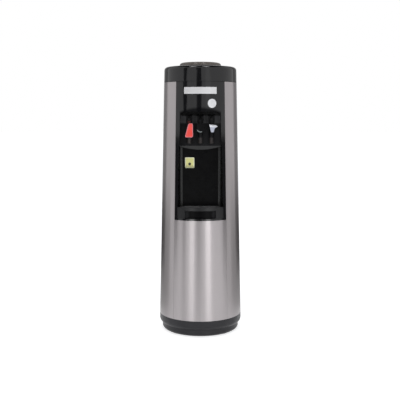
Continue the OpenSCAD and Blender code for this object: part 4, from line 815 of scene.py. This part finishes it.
def room_arc_highlight(face):
    """The foot of the room temperature paddle's rim, where a pale grey highlight is painted."""
    at_foot = face.center.z < PADDLE_TOP_Z - 24 * MM and face.center.x < tap_x["room"] + 6 * MM
    return at_foot and face.normal.y < -0.3 and face.area < 60 * MM * MM


paint(settle(hot_paddle(), "hot_lever", lever_red, replaces=False), rim_red, hot_rim)
paint(settle(room_paddle(), "room_lever", tap_black, replaces=False), arc_grey, room_arc_highlight)
settle(cold_paddle(), "cold_lever", lever_white, replaces=False)
for tap in TAPS:
    softened(tap + "_lever", 0.8 * MM, tap_black, bare_arm)

# Yellow label: a pale base, a yellow field and a dark dot, one on the other

LABEL_W = label_high.x - label_low.x
LABEL_H = label_high.z - label_low.z
LABEL_MARGIN = 3.5 * MM
BASE_T = 0.3 * MM
FIELD_T = 0.04 * MM
DOT_T = 0.03 * MM
DOT = 11 * MM


def label_layer(name, width, tall, radius, back_y, thick, material, rise=0, replaces=False):
    """A thin printed layer over the label's middle, moved up by rise."""
    piece = sheet(name, width, tall)
    round_corners(piece, lambda v: True, radius, 8)
    thicken(piece, thick)
    bpy.ops.mesh.select_all(action="SELECT")
    bpy.ops.transform.translate(value=((label_low.x + label_high.x) / 2, back_y,
                                       (label_low.z + label_high.z) / 2 + rise))
    done()
    smooth(piece)
    return settle(piece, "yellow_label", material, replaces)


label_layer("label_base", LABEL_W, LABEL_H, 3.5 * MM, label_high.y, BASE_T, label_film, replaces=True)
label_layer("label_field", LABEL_W - 2 * LABEL_MARGIN, LABEL_H - 2 * LABEL_MARGIN, 2 * MM,
            label_high.y - BASE_T, FIELD_T, label_print)
label_layer("label_dot", DOT, DOT, 5.4 * MM, label_high.y - BASE_T - FIELD_T, DOT_T, dot_print,
            rise=-0.12 * LABEL_H)

# Round sticker

STICKER_R = 16.8 * MM
STICKER_NARROW = 0.94
STICKER_X = 43.5 * MM
STICKER_DROP = 81 * MM


def round_sticker():
    """A plain white disc on the front, over the cold tap. Its rings let it bend with the front."""
    bpy.ops.object.select_all(action="DESELECT")
    bpy.ops.mesh.primitive_circle_add(vertices=64, radius=STICKER_R, fill_type="NGON",
                                      location=(STICKER_X, front_low.y, front_high.z - STICKER_DROP),
                                      rotation=(math.pi / 2, 0, 0))
    piece = bpy.context.object
    piece.name = "round_sticker"
    piece.scale = (STICKER_NARROW, 1, 1)
    bpy.ops.object.transform_apply(location=True, rotation=True, scale=True)
    begin(piece)
    for width in (1.5, 4, 4, 4):
        pick(piece, "FACE", lambda f: len(f.verts) > 4)
        bpy.ops.mesh.inset(thickness=width * MM)
    done()
    use(piece, "SHRINKWRAP", "laid_on", target=nodes["front_fascia"], wrap_method="PROJECT",
        use_project_y=True, use_positive_direction=True, use_negative_direction=True, offset=0.02 * MM)
    use(piece, "SOLIDIFY", "film", thickness=0.2 * MM, offset=1)
    smooth(piece)
    return settle(piece, "badge_plate", white_film, replaces=False)


round_sticker()
